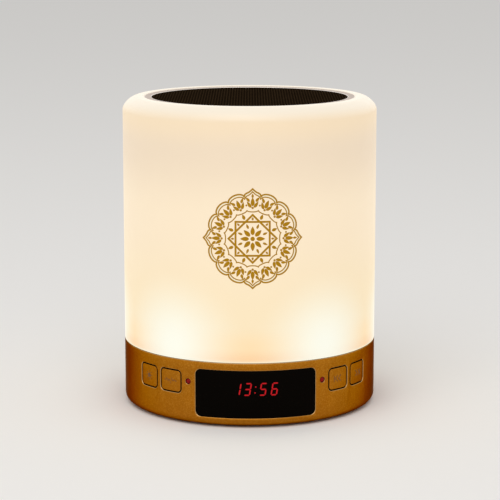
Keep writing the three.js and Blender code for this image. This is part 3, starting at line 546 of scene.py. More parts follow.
@dataclass(frozen=True)
class Finish:
    """A surface finish: a moulded or coated colour with fine patches and a fine grain."""

    name: str
    colour: str
    patch_colour: str
    roughness: float
    metallic: float = 0.0
    patch: float = 9 * MM  # size of the soft patches of colour
    grain: float = 0.5 * MM  # size of the surface's grain
    relief: float = 0.004 * MM  # height of the grain
    rough_spread: float = 0.06
    least_rough: float = 0.02
    shine: float = 0.5  # specular level
    detail: float = 3.0  # octaves of the noise in gloss and grain

    def paint(self, tree: Tree, place: Socket) -> Socket:
        """Give the colour: two near tones in soft patches.

        Args:
            tree: The material's node tree.
            place: The place on the object.

        Returns:
            The colour.
        """
        patches = add_node(tree, "ShaderNodeTexNoise", {"Vector": place, "Scale": 1 / self.patch})
        mix = add_node(tree, "ShaderNodeMix", {
            "Factor": patches.outputs[0],
            COLOUR_A: linear(self.colour),
            COLOUR_B: linear(self.patch_colour),
        }, data_type="RGBA")
        return mix.outputs[COLOUR_OUT]

    def gloss(self, tree: Tree, place: Socket) -> Socket:
        """Give the roughness, a little uneven as on a handled surface.

        Args:
            tree: The material's node tree.
            place: The place on the object.

        Returns:
            The roughness.
        """
        patches = add_node(tree, "ShaderNodeTexNoise", {
            "Vector": place, "Scale": 2 / self.patch, "Detail": self.detail})
        spread = add_node(tree, "ShaderNodeMapRange", {
            "Value": patches.outputs[0],
            "To Min": max(self.least_rough, self.roughness - self.rough_spread),
            "To Max": self.roughness + self.rough_spread,
        })
        return spread.outputs[0]

    def surface(self, tree: Tree, place: Socket) -> Socket:
        """Give the height of the surface's grain."""
        return add_node(tree, "ShaderNodeTexNoise", {
            "Vector": place, "Scale": 1 / self.grain, "Detail": self.detail}).outputs[0]

    def extra(self, tree: Tree, place: Socket) -> dict:
        """Give the shader's inputs that only this finish has."""
        return {}

    def material(self) -> bpy.types.Material:
        """Make the finish's material, or find it if it is made.

        Returns:
            The material.
        """
        made = bpy.data.materials.get(self.name)
        if made is not None:
            return made
        material = bpy.data.materials.new(self.name)
        material.use_nodes = True
        tree = material.node_tree
        tree.nodes.clear()
        place = add_node(tree, "ShaderNodeTexCoord").outputs["Object"]
        inputs = {
            "Base Color": self.paint(tree, place),
            "Metallic": self.metallic,
            "Roughness": self.gloss(tree, place),
            "Specular IOR Level": self.shine,
            **self.extra(tree, place),
        }
        if self.relief:
            bump = add_node(tree, "ShaderNodeBump", {
                "Height": self.surface(tree, place), "Distance": self.relief, "Strength": 1.0})
            inputs["Normal"] = bump.outputs[0]
        shader = add_node(tree, "ShaderNodeBsdfPrincipled", inputs)
        add_node(tree, "ShaderNodeOutputMaterial", {"Surface": shader.outputs[0]})
        return material


@dataclass(frozen=True)
class LitShade(Finish):
    """Milky polycarbonate, moulded and lit from inside: an even glow, brighter near its lights."""

    tones: tuple[tuple[float, str], ...] = (  # the glow at each height
        (29.3 * MM, "CFC7AC"), (30.4 * MM, "CFA36C"), (36 * MM, "D1B483"), (46 * MM, "CDBB96"),
        (92 * MM, "CDBCA1"), (121 * MM, "BEAC95"), (133 * MM, "C6B192"), (139 * MM, "C4BDB0"))
    glow_hot: str = "D0D7CE"  # light of the hot spots
    strength: float = 1.0
    radius: float = 57.5 * MM
    span: float = 140 * MM
    hot_height: float = 35.5 * MM
    hot_reach: float = 35 * MM
    hot_angles: tuple[float, ...] = (-38.0, 32.0, 90.0, 148.0, 206.0, 264.0)

    def hot_share(self, tree: Tree, place: Socket) -> Socket:
        """Give the share of the hot spots: 1 at each spot's centre, 0 past its reach.

        Args:
            tree: The material's node tree.
            place: The place on the object.

        Returns:
            The share.
        """
        total = None
        for angle in self.hot_angles:
            turn = math.radians(angle)
            centre = (self.radius * math.sin(turn), -self.radius * math.cos(turn), self.hot_height)
            away = add_node(tree, "ShaderNodeVectorMath", {0: place, 1: centre}, operation="DISTANCE")
            share = add_node(tree, "ShaderNodeMapRange", {
                "Value": away.outputs["Value"], "From Min": self.hot_reach, "From Max": 0.0,
            }, interpolation_type="SMOOTHSTEP").outputs[0]
            if total is None:
                total = share
            else:
                total = add_node(tree, "ShaderNodeMath", {0: total, 1: share}, operation="MAXIMUM").outputs[0]
        return total

    def extra(self, tree: Tree, place: Socket) -> dict:
        """Give the glow, whose colour follows the height and the lights inside.

        Args:
            tree: The material's node tree.
            place: The place on the object.

        Returns:
            The emission's inputs.
        """
        up = add_node(tree, "ShaderNodeSeparateXYZ", {0: place}).outputs["Z"]
        share = add_node(tree, "ShaderNodeMath", {0: up, 1: self.span}, operation="DIVIDE").outputs[0]
        ramp = add_node(tree, "ShaderNodeValToRGB", {0: share})
        ramp.color_ramp.interpolation = "EASE"
        stops = ramp.color_ramp.elements
        while len(stops) < len(self.tones):
            stops.new(1.0)
        for stop, (height, tone) in zip(stops, self.tones):
            stop.position = height / self.span
            stop.color = linear(tone)
        hot = add_node(tree, "ShaderNodeMix", {
            "Factor": self.hot_share(tree, place), COLOUR_A: ramp.outputs[0], COLOUR_B: linear(self.glow_hot),
        }, data_type="RGBA")
        return {"Emission Color": hot.outputs[COLOUR_OUT], "Emission Strength": self.strength}


@dataclass(frozen=True)
class Glowing(Finish):
    """A lit display segment behind smoked acrylic."""

    glow: str = "B6151B"
    strength: float = 1.0

    def extra(self, tree: Tree, place: Socket) -> dict:
        """Give the segment's own even light."""
        return {"Emission Color": linear(self.glow), "Emission Strength": self.strength}


@dataclass(frozen=True)
class TurnedMetal(Finish):
    """Metal turned on a lathe: fine rings round the axis that catch the light."""

    line: float = 0.25 * MM  # spacing of the tool's rings, coarser than real so that they show
    wobble: float = 0.4  # how far the rings stray
    wobble_detail: float = 1.0

    def surface(self, tree: Tree, place: Socket) -> Socket:
        """Give the height of the turned rings.

        Args:
            tree: The material's node tree.
            place: The place on the object.

        Returns:
            The height.
        """
        return add_node(tree, "ShaderNodeTexWave", {
            "Vector": place, "Scale": 1 / (2 * self.line), "Distortion": self.wobble,
            "Detail": self.wobble_detail,
        }, wave_type="RINGS", rings_direction="Z").outputs["Fac"]


@dataclass(frozen=True)
class Pierced(Finish):
    """A coated and pierced sheet, with painted shade inside its holes."""

    face: float = 139.37 * MM  # just under the sheet's face; below it lies the painted shade
    # painted shade: a near black tone on the walls of the holes
    hole_shade_colour: str = "060302"

    def paint(self, tree: Tree, place: Socket) -> Socket:
        """Give the coat's colour, and painted shade inside the holes.

        Args:
            tree: The material's node tree.
            place: The place on the object.

        Returns:
            The colour.
        """
        up = add_node(tree, "ShaderNodeSeparateXYZ", {0: place}).outputs["Z"]
        inside = add_node(tree, "ShaderNodeMath", {0: up, 1: self.face}, operation="LESS_THAN").outputs[0]
        # painted shade below the face
        return add_node(tree, "ShaderNodeMix", {
            "Factor": inside, COLOUR_A: super().paint(tree, place), COLOUR_B: linear(self.hole_shade_colour),
        }, data_type="RGBA").outputs[COLOUR_OUT]


@dataclass(frozen=True)
class EdgeLitRing(TurnedMetal):
    """Turned and anodised metal, with a painted highlight along its two edges."""

    # painted highlight: a bright tone along the ring's inner and outer edges
    edge_highlight_colour: str = "F6EDE2"
    inner_highlight_edge: float = 44.65 * MM  # the painted highlight lies inside this radius
    outer_highlight_edge: float = 47.42 * MM  # and outside this one

    def paint(self, tree: Tree, place: Socket) -> Socket:
        """Give the anodised tone between the two painted highlights.

        Args:
            tree: The material's node tree.
            place: The place on the object.

        Returns:
            The colour.
        """
        colour = super().paint(tree, place)
        out = from_axis(tree, place)
        # painted highlight along both edges
        for radius, operation in ((self.inner_highlight_edge, "LESS_THAN"), (self.outer_highlight_edge, "GREATER_THAN")):
            share = add_node(tree, "ShaderNodeMath", {0: out, 1: radius}, operation=operation).outputs[0]
            colour = add_node(tree, "ShaderNodeMix", {
                "Factor": share, COLOUR_A: colour, COLOUR_B: linear(self.edge_highlight_colour),
            }, data_type="RGBA").outputs[COLOUR_OUT]
        return colour


@dataclass(frozen=True)
class SprayedMetal(Finish):
    """Metallic paint, sprayed: satin, with fine flakes, a painted highlight on its rounded edges and painted
    shade on the walls of its openings.
    """

    flake: float = 0.3 * MM  # size of a flake, coarser than real so that it shows
    flake_colour: str = "D99A3A"
    flake_share: float = 0.35
    dull_flakes: float = 0.5  # flakes below this brightness don't show
    face: float = 57.5 * MM  # radius of the painted face
    foot: float = 4.4 * MM  # below this the face turns under
    # painted highlight: a light tone on the rounded edges, just inside the face
    rim_highlight_colour: str = "BC9460"
    rim_highlight_depth: float = 0.02 * MM
    # painted shade: a dark tone on the walls of openings and grooves, deeper inside the face
    recess_shade_colour: str = "2B0F10"
    recess_shade_depth: float = 0.27 * MM
    recess_shade_ramp: float = 1.2  # the painted shade is full at this many of its depths
    edge_tint: str = "7E6A22"

    def paint(self, tree: Tree, place: Socket) -> Socket:
        """Give the paint's colour with its flakes, a painted highlight on its rounded edges and painted shade
        in its recesses.

        Args:
            tree: The material's node tree.
            place: The place on the object.

        Returns:
            The colour.
        """
        colour = super().paint(tree, place)
        flakes = add_node(tree, "ShaderNodeTexVoronoi", {"Vector": place, "Scale": 1 / self.flake})
        bright = add_node(tree, "ShaderNodeSeparateColor", {0: flakes.outputs["Color"]}).outputs[0]
        out = from_axis(tree, place)
        up = add_node(tree, "ShaderNodeSeparateXYZ", {0: place}).outputs["Z"]
        wall = add_node(tree, "ShaderNodeMath", {0: up, 1: self.foot}, operation="GREATER_THAN").outputs[0]
        layers = (
            (bright, self.dull_flakes, 1.0, self.flake_share, self.flake_colour),
            # painted highlight on the rounded edges
            (out, self.face - self.rim_highlight_depth, self.face - 2 * self.rim_highlight_depth, wall, self.rim_highlight_colour),
            # painted shade in the recesses
            (out, self.face - self.recess_shade_depth, self.face - self.recess_shade_ramp * self.recess_shade_depth, wall,
             self.recess_shade_colour),
        )
        for value, start, end, most, tone in layers:
            share = add_node(tree, "ShaderNodeMapRange", {
                "Value": value, "From Min": start, "From Max": end, "To Max": most}).outputs[0]
            mix = add_node(tree, "ShaderNodeMix", {
                "Factor": share, COLOUR_A: colour, COLOUR_B: linear(tone)}, data_type="RGBA")
            colour = mix.outputs[COLOUR_OUT]
        return colour

    def extra(self, tree: Tree, place: Socket) -> dict:
        """Keep the paint's own colour where it is seen at a low angle."""
        return {"Specular Tint": linear(self.edge_tint)}


@dataclass(frozen=True)
class Woven(Finish):
    """Cloth stiffened with resin: two sets of threads that cross."""

    thread: float = 0.6 * MM

    def surface(self, tree: Tree, place: Socket) -> Socket:
        """Give the height of crossing threads.

        Args:
            tree: The material's node tree.
            place: The place on the object.

        Returns:
            The height.
        """
        waves = [add_node(tree, "ShaderNodeTexWave", {
            "Vector": place, "Scale": 1 / (2 * self.thread),
        }, bands_direction=way).outputs["Fac"] for way in ("X", "Y")]
        return add_node(tree, "ShaderNodeMath", {0: waves[0], 1: waves[1]}, operation="MAXIMUM").outputs[0]


class Finishes:
    """The lamp's finishes. Each one is named for its material and how it was made."""

    # Milky polycarbonate, injection moulded: it scatters the light inside, so it glows evenly.
    SHADE = LitShade("milky_polycarbonate_moulded", "A89C8A", "A59987", 0.4, relief=0.002 * MM,
                     grain=1.2 * MM)
    # Gold paint on ABS, sprayed: a satin metallic coat with fine flakes, a painted highlight on its rounded
    # edges and painted shade inside its openings.
    GOLD = SprayedMetal("gold_paint_sprayed", "AE6B13", "9B5E11", 0.33, 1.0, relief=0.006 * MM,
                        grain=0.35 * MM)
    # The same paint on the keys, whose faces lie a little lower: satin, with a softer painted highlight and a
    # dark line of painted shade round each face.
    KEY_GOLD = replace(GOLD, name="gold_paint_sprayed_keys", face=57.4 * MM, rim_highlight_colour="A2651A",
                       recess_shade_depth=0.05 * MM)
    # Champagne aluminium, turned and anodised: satin, with fine rings, and a painted highlight along its
    # edges.
    SILVER = EdgeLitRing("champagne_aluminium_turned", "B8A28F", "AC9682", 0.34, 1.0, relief=0.003 * MM)
    # Perforated steel, powder coated black: a dull coat with a fine orange peel, and painted shade inside its
    # holes.
    GRILLE = Pierced("perforated_steel_powder_coated", "35281A", "2C2014", 0.6, grain=0.3 * MM,
                     relief=0.01 * MM, shine=0.0)
    # Polyester dust cloth, woven black: dull and very dark, so that the holes above it look deep.
    DUST_CLOTH = Woven("polyester_cloth_woven", "0D0B0A", "090807", 0.95, shine=0.0, relief=0.03 * MM,
                       thread=0.2 * MM)
    # Smoked acrylic, cast and polished: nearly black, with a clear gloss.
    WINDOW = Finish("smoked_acrylic_polished", "060301", "050301", 0.14, shine=0.02, relief=0.0,
                    rough_spread=0.02)
    # Red polycarbonate, moulded and clear: deep red with a wet highlight.
    LENS = Finish("red_polycarbonate_moulded", "900607", "7C0304", 0.12, shine=0.11, relief=0.0,
                  rough_spread=0.03)
    # Display segments, lit: red light through the smoked acrylic.
    DIGIT = Glowing("display_segment_lit", "3A0A0E", "300609", 0.4, relief=0.0, shine=0.05)
    # Ochre ink, pad printed: matt and thin, a little uneven.
    INK = Finish("ochre_ink_pad_printed", "B6850A", "A97A0A", 0.6, patch=1.5 * MM, grain=0.2 * MM,
                 shine=0.12)
    # Cream ink under the ochre lines: matt and opaque, paler than the lit wall.
    CREAM = replace(INK, name="cream_ink_pad_printed", colour="FFF3D6", patch_colour="FCEFD0")
    # Marks burnt into the paint with a laser: matt and darker than the paint.
    MARK = Finish("paint_laser_marked", "6B4218", "7A4E1E", 0.6, 0.3, grain=0.15 * MM)
    # ABS, moulded black in a spark eroded tool: a fine matt grain.
    BLACK = Finish("black_abs_moulded", "1B1815", "15120F", 0.55, grain=0.4 * MM, relief=0.01 * MM)
    # ABS, moulded white: smooth and slightly waxy.
    WHITE = Finish("white_abs_moulded", "E9E4DA", "E2DCD0", 0.45)
    # Silicone rubber, moulded: matt, with a bloom of dust.
    RUBBER = Finish("silicone_rubber_moulded", "1D1C1B", "262422", 0.85, grain=0.25 * MM, relief=0.01 * MM)
    # Steel, zinc plated: cool grey with a soft spangle.
    ZINC = Finish("steel_zinc_plated", "B9B6AD", "A9A69D", 0.34, 1.0, patch=2.5 * MM, grain=0.3 * MM)
    # Stainless steel sheet, drawn: even and fairly bright.
    STEEL = Finish("stainless_steel_drawn", "C4C2BE", "B5B3AE", 0.25, 1.0, patch=1.5 * MM, grain=0.2 * MM)
    # Paper pulp, pressed: black, dull and slightly fibrous.
    PULP = Finish("paper_pulp_pressed", "242120", "2E2A28", 0.9, patch=2 * MM, relief=0.03 * MM)
    # Polyurethane foam, cut: dull and open celled.
    FOAM = Finish("polyurethane_foam_cut", "2A2725", "1F1C1B", 0.9, patch=0.8 * MM, grain=0.4 * MM,
                  relief=0.08 * MM)
    # Cotton with phenolic resin, woven and pressed: amber, with its threads in relief.
    SPIDER = Woven("resin_cotton_woven", "B98A3C", "A97B30", 0.85, relief=0.05 * MM)
    # Ferrite, sintered: dark grey and dull, with a fine mottling.
    FERRITE = Finish("ferrite_sintered", "35312F", "2C2927", 0.65, 0.1, patch=1.2 * MM, grain=0.2 * MM)
    # Copper wire, enamelled and wound: its turns lie as fine rings.
    COPPER = TurnedMetal("copper_wire_wound", "B5652C", "A55823", 0.38, 1.0, relief=0.02 * MM)
    # Glass fibre board under green solder resist: its weave shows faintly.
    BOARD = Woven("glass_fibre_green_resist", "1F5A34", "1A4F2D", 0.45, relief=0.006 * MM)
    # Glass fibre board under white solder resist: clean white, with its weave barely seen.
    WHITE_BOARD = replace(BOARD, name="glass_fibre_white_resist", colour="EEEAE0", patch_colour="E6E1D5",
                          roughness=0.5)
    # Film shrunk round the cell: thin and glossy.
    SLEEVE = Finish("cell_film_shrunk", "2D5F8C", "285680", 0.3, grain=1.5 * MM, relief=0.01 * MM)
    # PVC round stranded wire, extruded: smooth and slightly soft.
    RED_LEAD = Finish("red_pvc_extruded", "A3201C", "961B18", 0.45)
    # The same in grey: plain, and quiet beside the red.
    GREY_LEAD = replace(RED_LEAD, name="grey_pvc_extruded", colour="8F8C88", patch_colour="84817D")


def dress(piece: Mesh, finish: Finish, body: str | None = HOUSING,
          replaces: Sequence[str] = ()) -> Mesh:
    """Give a new piece its material, its body and the nodes that it stands for.

    Args:
        piece: The finished piece.
        finish: Its finish.
        body: The body that it rides on, or None for a piece that rides on none.
        replaces: The nodes that it replaces.

    Returns:
        The piece.
    """
    piece.data.materials.clear()
    piece.data.materials.append(finish.material())
    if body is not None:
        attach(piece, body)
    if replaces:
        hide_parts(*replaces)
    LOG.info("%s: %d faces", piece.name, len(piece.data.polygons))
    return piece


def dress_nodes(finish: Finish, *names: str) -> None:
    """Give CAD nodes a material in place of their plain one.

    Args:
        finish: Their finish.
        *names: The nodes' names.
    """
    for name in names:
        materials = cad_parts[name].data.materials
        materials.clear()
        materials.append(finish.material())
        LOG.info("%s: %s", name, finish.name)


@dataclass
class Shade:
    """The milky shade: a tall cup with a soft shoulder, upside down over the light chamber."""

    body: Body
    inset: float = 0.05 * MM  # inside the frame's box, so that the print stays in it too
    wall: float = 2.0 * MM
    shoulder_width: float = 6.4 * MM
    shoulder_drop: float = 5.7 * MM
    fullness: float = 1.6  # 2 is an ellipse, less is flatter
    shoulder_steps: int = 28
    lip: float = 0.25 * MM  # chamfer of the foot and the mouth
    ledge: float = 1.3 * MM  # reaches this far under the touch ring
    ring_gap: float = 0.15 * MM
    rebate: float = 139.0 * MM  # height of the ledge's face
    spigot_wall: float = 1.5 * MM
    spigot_gap: float = 0.3 * MM  # between the spigot and the base's wall
    slope: float = 3.0 * MM  # height of the slope between spigot and wall
    steps: int = 192

    @property
    def outer(self) -> float:
        """Radius of the shade's wall."""
        return self.body.radius - self.inset

    def shoulder(self, width: float, drop: float, edge: float, base: float) -> list[Flat]:
        """Give the shoulder's curve, from the wall up to the flat top.

        Args:
            width: How far it comes in.
            drop: How far it goes up.
            edge: Radius where it starts.
            base: Height where it starts.

        Returns:
            Its points.
        """
        points = []
        for step in range(self.shoulder_steps + 1):
            turn = TURN / 4 * step / self.shoulder_steps
            out = width * max(0.0, math.cos(turn)) ** (2 / self.fullness)
            points.append((edge - width + out, base + drop * math.sin(turn) ** (2 / self.fullness)))
        return points

    def profile(self) -> list[Flat]:
        """Give the shade's closed profile.

        Returns:
            Distance from the axis and height of each corner.
        """
        body, wall, half = self.body, self.wall, self.wall / 2
        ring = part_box("touch_ring")[1].x
        mouth = ring + self.ring_gap
        inner = body.radius - wall
        outer_curve = self.shoulder(self.shoulder_width, self.shoulder_drop, self.outer,
                                    body.top - self.shoulder_drop)
        inner_curve = self.shoulder(self.shoulder_width - half, self.shoulder_drop - half, inner,
                                    body.top - wall - self.shoulder_drop)
        spigot = body.inner - self.spigot_gap
        return [
            (self.outer - self.lip, body.seam),
            (self.outer, body.seam + self.lip),
            *outer_curve,
            (mouth + self.lip, body.top),
            (mouth, body.top - self.lip),
            (mouth, self.rebate),
            (ring - self.ledge, self.rebate),
            (ring - self.ledge, body.top - wall),
            *reversed(inner_curve),
            (inner, body.seam + self.slope),
            (spigot - self.spigot_wall, body.seam),
            (spigot - self.spigot_wall, body.spigot_bottom),
            (spigot, body.spigot_bottom),
            (spigot, body.seam),
        ]

    def build(self) -> Mesh:
        """Turn the shade.

        Returns:
            The shade.
        """
        piece = Bench.lathe("shade_moulded", self.profile(), self.steps)
        Bench.smooth(piece)
        return dress(piece, Finishes.SHADE, replaces=["shade"])


@dataclass
class TouchRing:
    """The satin metal ring round the grille, which senses a finger."""

    inner: float = 44.4 * MM  # radius of its mouth
    edge: float = 0.28 * MM
    edge_steps: int = 3
    slope: float = 0.15 * MM
    thickness: float = 0.4 * MM
    skirt_inner: float = 45.3 * MM
    skirt_wall: float = 0.8 * MM
    steps: int = 192

    def build(self) -> Mesh:
        """Turn the ring with its skirt, and break its edges.

        Returns:
            The ring.
        """
        low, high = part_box("touch_ring")
        outer, top, bottom = high.x, high.z, low.z
        under = top - self.thickness
        skirt_outer = self.skirt_inner + self.skirt_wall
        piece = Bench.lathe("touch_ring_turned", [
            (self.inner, under), (self.skirt_inner, under), (self.skirt_inner, bottom), (skirt_outer, bottom),
            (skirt_outer, under), (outer, under), (outer, top), (self.inner, top - self.slope),
        ], self.steps)
        Bench.bevel(piece, self.edge, self.edge_steps)
        Bench.tidy(piece)
        Bench.smooth(piece)
        return dress(piece, Finishes.SILVER, replaces=["touch_ring"])


@dataclass
class Grille:
    """The perforated disc over the speaker: round holes in a close triangular pattern."""

    pitch: float = 1.41 * MM
    hole: float = 0.53 * MM
    pierced: float = 44.7 * MM  # radius inside which the sheet is pierced
    turn: float = math.radians(-2.9)  # how the rows lie
    rim_sides: int = 192
    rows: int = 67
    pairs: int = 38  # of columns
    lift: float = 0.38 * MM  # the sheet lies close under the ring
    cloth_gap: float = 0.02 * MM
    cloth_thickness: float = 0.06 * MM
    cloth_steps: int = 96

    @property
    def column(self) -> float:
        """Distance between two columns of holes."""
        return self.pitch * math.cos(TURN / 12)

    def cell_of(self, x: float, y: float) -> Flat:
        """Give the middle of the cell that a point lies in.

        Args:
            x: The point's X.
            y: The point's Y.

        Returns:
            X and Y of the cell's middle.
        """
        across = round(x / self.column)
        shift = self.pitch / 2 if across % 2 else 0.0
        return across * self.column, round((y - shift) / self.pitch) * self.pitch + shift

    def cell(self) -> Mesh:
        """Lay one cell with its hole: a brick, whose neighbours on both sides lie half a pitch along.

        Returns:
            The cell.
        """
        side, end = self.column / 2, self.pitch / 2
        rim = [(side, 0), (side, end), (0, end), (-side, end),
               (-side, 0), (-side, -end), (0, -end), (side, -end)]
        outer = Bench.outline("grille_cell", [(x, y, 0) for x, y in rim])
        inner = Bench.outline("grille_hole", [(x, y, 0) for x, y in circle(self.hole, (0, 0), len(rim))])
        cell = Bench.join(outer, inner)
        with Bench.editing(cell):
            bpy.ops.mesh.bridge_edge_loops()
        return cell

    def sheet(self) -> Mesh:
        """Repeat the cell over the disc, and fill the sheet out to its round rim.

        Returns:
            The sheet, flat on the ground and with no thickness yet.
        """
        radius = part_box("speaker_grille")[1].x
        cell = self.cell()
        Bench.row(cell, self.rows, (0, self.pitch, 0))
        twin = Bench.copy(cell, "grille_twin")
        Bench.move(twin, (self.column, self.pitch / 2, 0))
        sheet = Bench.join(cell, twin)
        Bench.row(sheet, self.pairs, (2 * self.column, 0, 0))
        Bench.move(sheet, (-self.pairs * self.column, -(self.rows // 2) * self.pitch, 0))
        with Bench.editing(sheet):
            bpy.ops.mesh.remove_doubles(threshold=WELD)
        limit = self.pierced - self.pitch / 2
        Bench.drop_faces(sheet, lambda centre, _: math.hypot(*self.cell_of(centre.x, centre.y)) > limit)
        rim = Bench.outline("grille_rim", [(x, y, 0) for x, y in circle(radius, (0, 0), self.rim_sides)])
        sheet = Bench.join(sheet, rim)
        self.select_edge(sheet)
        bpy.ops.object.mode_set(mode="EDIT")
        bpy.ops.mesh.fill(use_beauty=True)
        bpy.ops.object.mode_set(mode="OBJECT")
        return sheet

    def select_edge(self, sheet: Mesh) -> None:
        """Select the open edges that aren't a hole's: the pierced field's border and the rim.

        Args:
            sheet: The sheet and its rim.
        """
        mesh = sheet.data
        Bench.choose(sheet, lambda *_: False)
        mesh.vertices.foreach_set("select", [False] * len(mesh.vertices))
        faces_of = {}
        for polygon in mesh.polygons:
            for key in polygon.edge_keys:
                faces_of[key] = faces_of.get(key, 0) + 1
        beyond = (self.hole + self.pitch / 2) / 2
        bpy.context.tool_settings.mesh_select_mode = (False, True, False)
        for edge in mesh.edges:
            if faces_of.get(edge.key, 0) > 1:
                continue
            middle = (mesh.vertices[edge.vertices[0]].co + mesh.vertices[edge.vertices[1]].co) / 2
            column, row = self.cell_of(middle.x, middle.y)
            on_rim = math.hypot(middle.x, middle.y) > self.pierced
            if on_rim or math.hypot(middle.x - column, middle.y - row) > beyond:
                edge.select = True

    def build(self) -> Mesh:
        """Give the pierced sheet its thickness.

        Returns:
            The pierced sheet.
        """
        low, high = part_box("speaker_grille")
        sheet = self.sheet()
        Bench.turn(sheet, self.turn)
        with Bench.editing(sheet):
            bpy.ops.mesh.normals_make_consistent(inside=False)
        if sheet.data.polygons[0].normal.z < 0:
            with Bench.editing(sheet):
                bpy.ops.mesh.flip_normals()
        Bench.apply(sheet, "SOLIDIFY", thickness=high.z - low.z, offset=-1.0)
        Bench.move(sheet, (0, 0, high.z + self.lift))
        Bench.rename(sheet, "grille_pierced")
        Bench.smooth(sheet)
        self.cloth(low.z + self.lift)
        return dress(sheet, Finishes.GRILLE, replaces=["speaker_grille"])

    def cloth(self, above: float) -> None:
        """Lay the black dust cloth that is glued under the grille.

        Args:
            above: Height of the grille's underside.
        """
        top = above - self.cloth_gap
        cloth = Bench.lathe("grille_cloth", [
            (0.0, top - self.cloth_thickness), (self.pierced, top - self.cloth_thickness),
            (self.pierced, top), (0.0, top)], self.cloth_steps)
        dress(cloth, Finishes.DUST_CLOTH)


@dataclass
class Suspension:
    """The speaker's surround and spider, each made in sectors, and its gasket."""

    sectors: int = 12
    steps: int = 8
    seam: float = math.radians(0.04)  # gap between two sectors
    flange: float = 2.2 * MM  # the basket's
    basket_wall: float = 1.2 * MM
    roll: float = 2.2 * MM  # radius of the surround's roll, inside
    cone_rim: float = 1.6 * MM  # the surround's lip on the cone
    thickness: float = 0.5 * MM
    roll_steps: int = 12
    waves: int = 3
    wave: float = 0.5 * MM  # half the height of a wave
    wave_steps: int = 10
    spider_edge: float = 1.2 * MM  # width of the spider's flat edge
    coil_gap: float = 0.1 * MM
    gasket_round: float = 0.4 * MM
    gasket_steps: int = 96
    gasket_fill: float = 0.9

    @property
    def root(self) -> float:
        """Radius of the surround's roll where it leaves the basket."""
        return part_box("speaker_surround")[1].x - self.flange - self.basket_wall

    def surround_profile(self) -> list[Flat]:
        """Give the surround's section: a half roll between a lip on the basket and one on the cone.

        Returns:
            Distance from the axis and height of each corner.
        """
        low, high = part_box("speaker_surround")
        foot, reach = low.z, self.roll + self.thickness
        middle, start = (self.root - self.roll, foot), math.asin(self.thickness / reach)
        inside = arc(middle, self.roll, 0, TURN / 2, self.roll_steps)
        outside = arc(middle, reach, TURN / 2 - start, start, self.roll_steps)
        lip = self.root - 2 * self.roll - self.cone_rim
        return [(high.x, foot), *inside, (lip, foot), (lip, foot + self.thickness), *outside,
                (high.x, foot + self.thickness)]

    def spider_profile(self) -> list[Flat]:
        """Give the spider's section: pressed waves between the coil and the basket.

        Returns:
            Distance from the axis and height of each corner.
        """
        low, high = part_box("speaker_spider")
        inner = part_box("voice_coil")[1].x + self.coil_gap
        foot = (low.z + high.z - self.thickness) / 2
        under = []
        count = self.waves * self.wave_steps
        for step in range(count + 1):
            turn = TURN * self.waves * step / count
            under.append((inner + (high.x - self.spider_edge - inner) * step / count,
                          foot + self.wave * math.sin(turn)))
        under.append((high.x, foot))
        return under + [(out, up + self.thickness) for out, up in reversed(under)]

    def ring(self, name: str, profile: Sequence[Flat], bends: Flat, finish: Finish, slot: str,
             node: str) -> None:
        """Make a ring in sectors, each a separate piece on no body.

        Args:
            name: The sectors' name.
            profile: The ring's section.
            bends: Two radii; not used.
            finish: Its finish.
            slot: Not used.
            node: The node that it replaces.
        """
        turn = TURN / self.sectors
        first = Bench.outline(name, [(out, 0, up) for out, up in profile])
        with Bench.editing(first):
            bpy.ops.mesh.spin(steps=self.steps, angle=turn - self.seam,
                              center=(0, 0, 0), axis=(0, 0, 1))
            bpy.ops.mesh.select_all(action="SELECT")
            bpy.ops.mesh.fill_holes(sides=0)
        Bench.tidy(first)
        for index in range(self.sectors):
            sector = Bench.copy(first, f"{name}_{index + 1}")
            Bench.turn(sector, turn * index)
            Bench.smooth(sector)
            dress(sector, finish, None, [node])
            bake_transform(sector)
        bpy.data.objects.remove(first)

    def gasket(self) -> None:
        """Turn the foam gasket, whose edges are soft."""
        low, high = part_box("speaker_gasket")
        inner = self.root + self.thickness
        soft = self.gasket_round
        gasket = Bench.lathe("gasket_foam", [
            (inner + soft, low.z), (high.x - soft, low.z), (high.x, low.z + soft), (high.x, high.z - soft),
            (high.x - soft, high.z), (inner + soft, high.z), (inner, high.z - soft), (inner, low.z + soft),
        ], self.gasket_steps)
        Bench.smooth(gasket, SOFT_EDGE)
        dress(gasket, Finishes.FOAM, replaces=["speaker_gasket"])

    def build(self) -> None:
        """Make the surround, the spider and the gasket."""
        nearest = math.cos(TURN / 2 / self.sectors)  # a sector's corner, seen along its middle
        self.ring("surround_sector", self.surround_profile(),
                  (self.root - 2 * self.roll, self.root * nearest),
                  Finishes.RUBBER, "rubber", "speaker_surround")
        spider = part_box("speaker_spider")[1].x
        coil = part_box("voice_coil")[1].x
        self.ring("spider_sector", self.spider_profile(),
                  (coil + self.spider_edge, (spider - self.spider_edge) * nearest),
                  Finishes.SPIDER, "spider_cloth", "speaker_spider")
        self.gasket()


def offset_loop(points: Sequence[Flat], distance: float) -> list[Flat]:
    """Shift a closed outline outwards by a distance, with mitred corners.

    Args:
        points: The corners, counter-clockwise.
        distance: How far outwards; less than zero is inwards.

    Returns:
        As many corners.
    """
    shifted = []
    count = len(points)
    for at, (x, y) in enumerate(points):
        before = Vector(points[at - 1])
        after = Vector(points[(at + 1) % count])
        here = Vector((x, y))
        first, second = (here - before).normalized(), (after - here).normalized()
        normals = [Vector((way.y, -way.x)) for way in (first, second)]
        both = normals[0] + normals[1]
        mitre = both / max(1 + normals[0].dot(normals[1]), 1 / LONGEST_MITRE)
        shifted.append((x + mitre.x * distance, y + mitre.y * distance))
    return shifted


@dataclass(frozen=True)
class Leaf:
    """A printed leaf: pointed at its tip, round at its foot. Its sizes are in mm."""

    out: float  # from where it is laid to its foot
    length: float
    width: float
    side: float = 0.0  # its foot's place to the left
    angle: float = 0.0  # its direction in degrees, counter-clockwise
    curl: float = 0.0  # how far its tip bends to the left, in lengths

    def mirrored(self) -> "Leaf":
        """Give the same leaf on the other side."""
        return replace(self, side=-self.side, angle=-self.angle, curl=-self.curl)


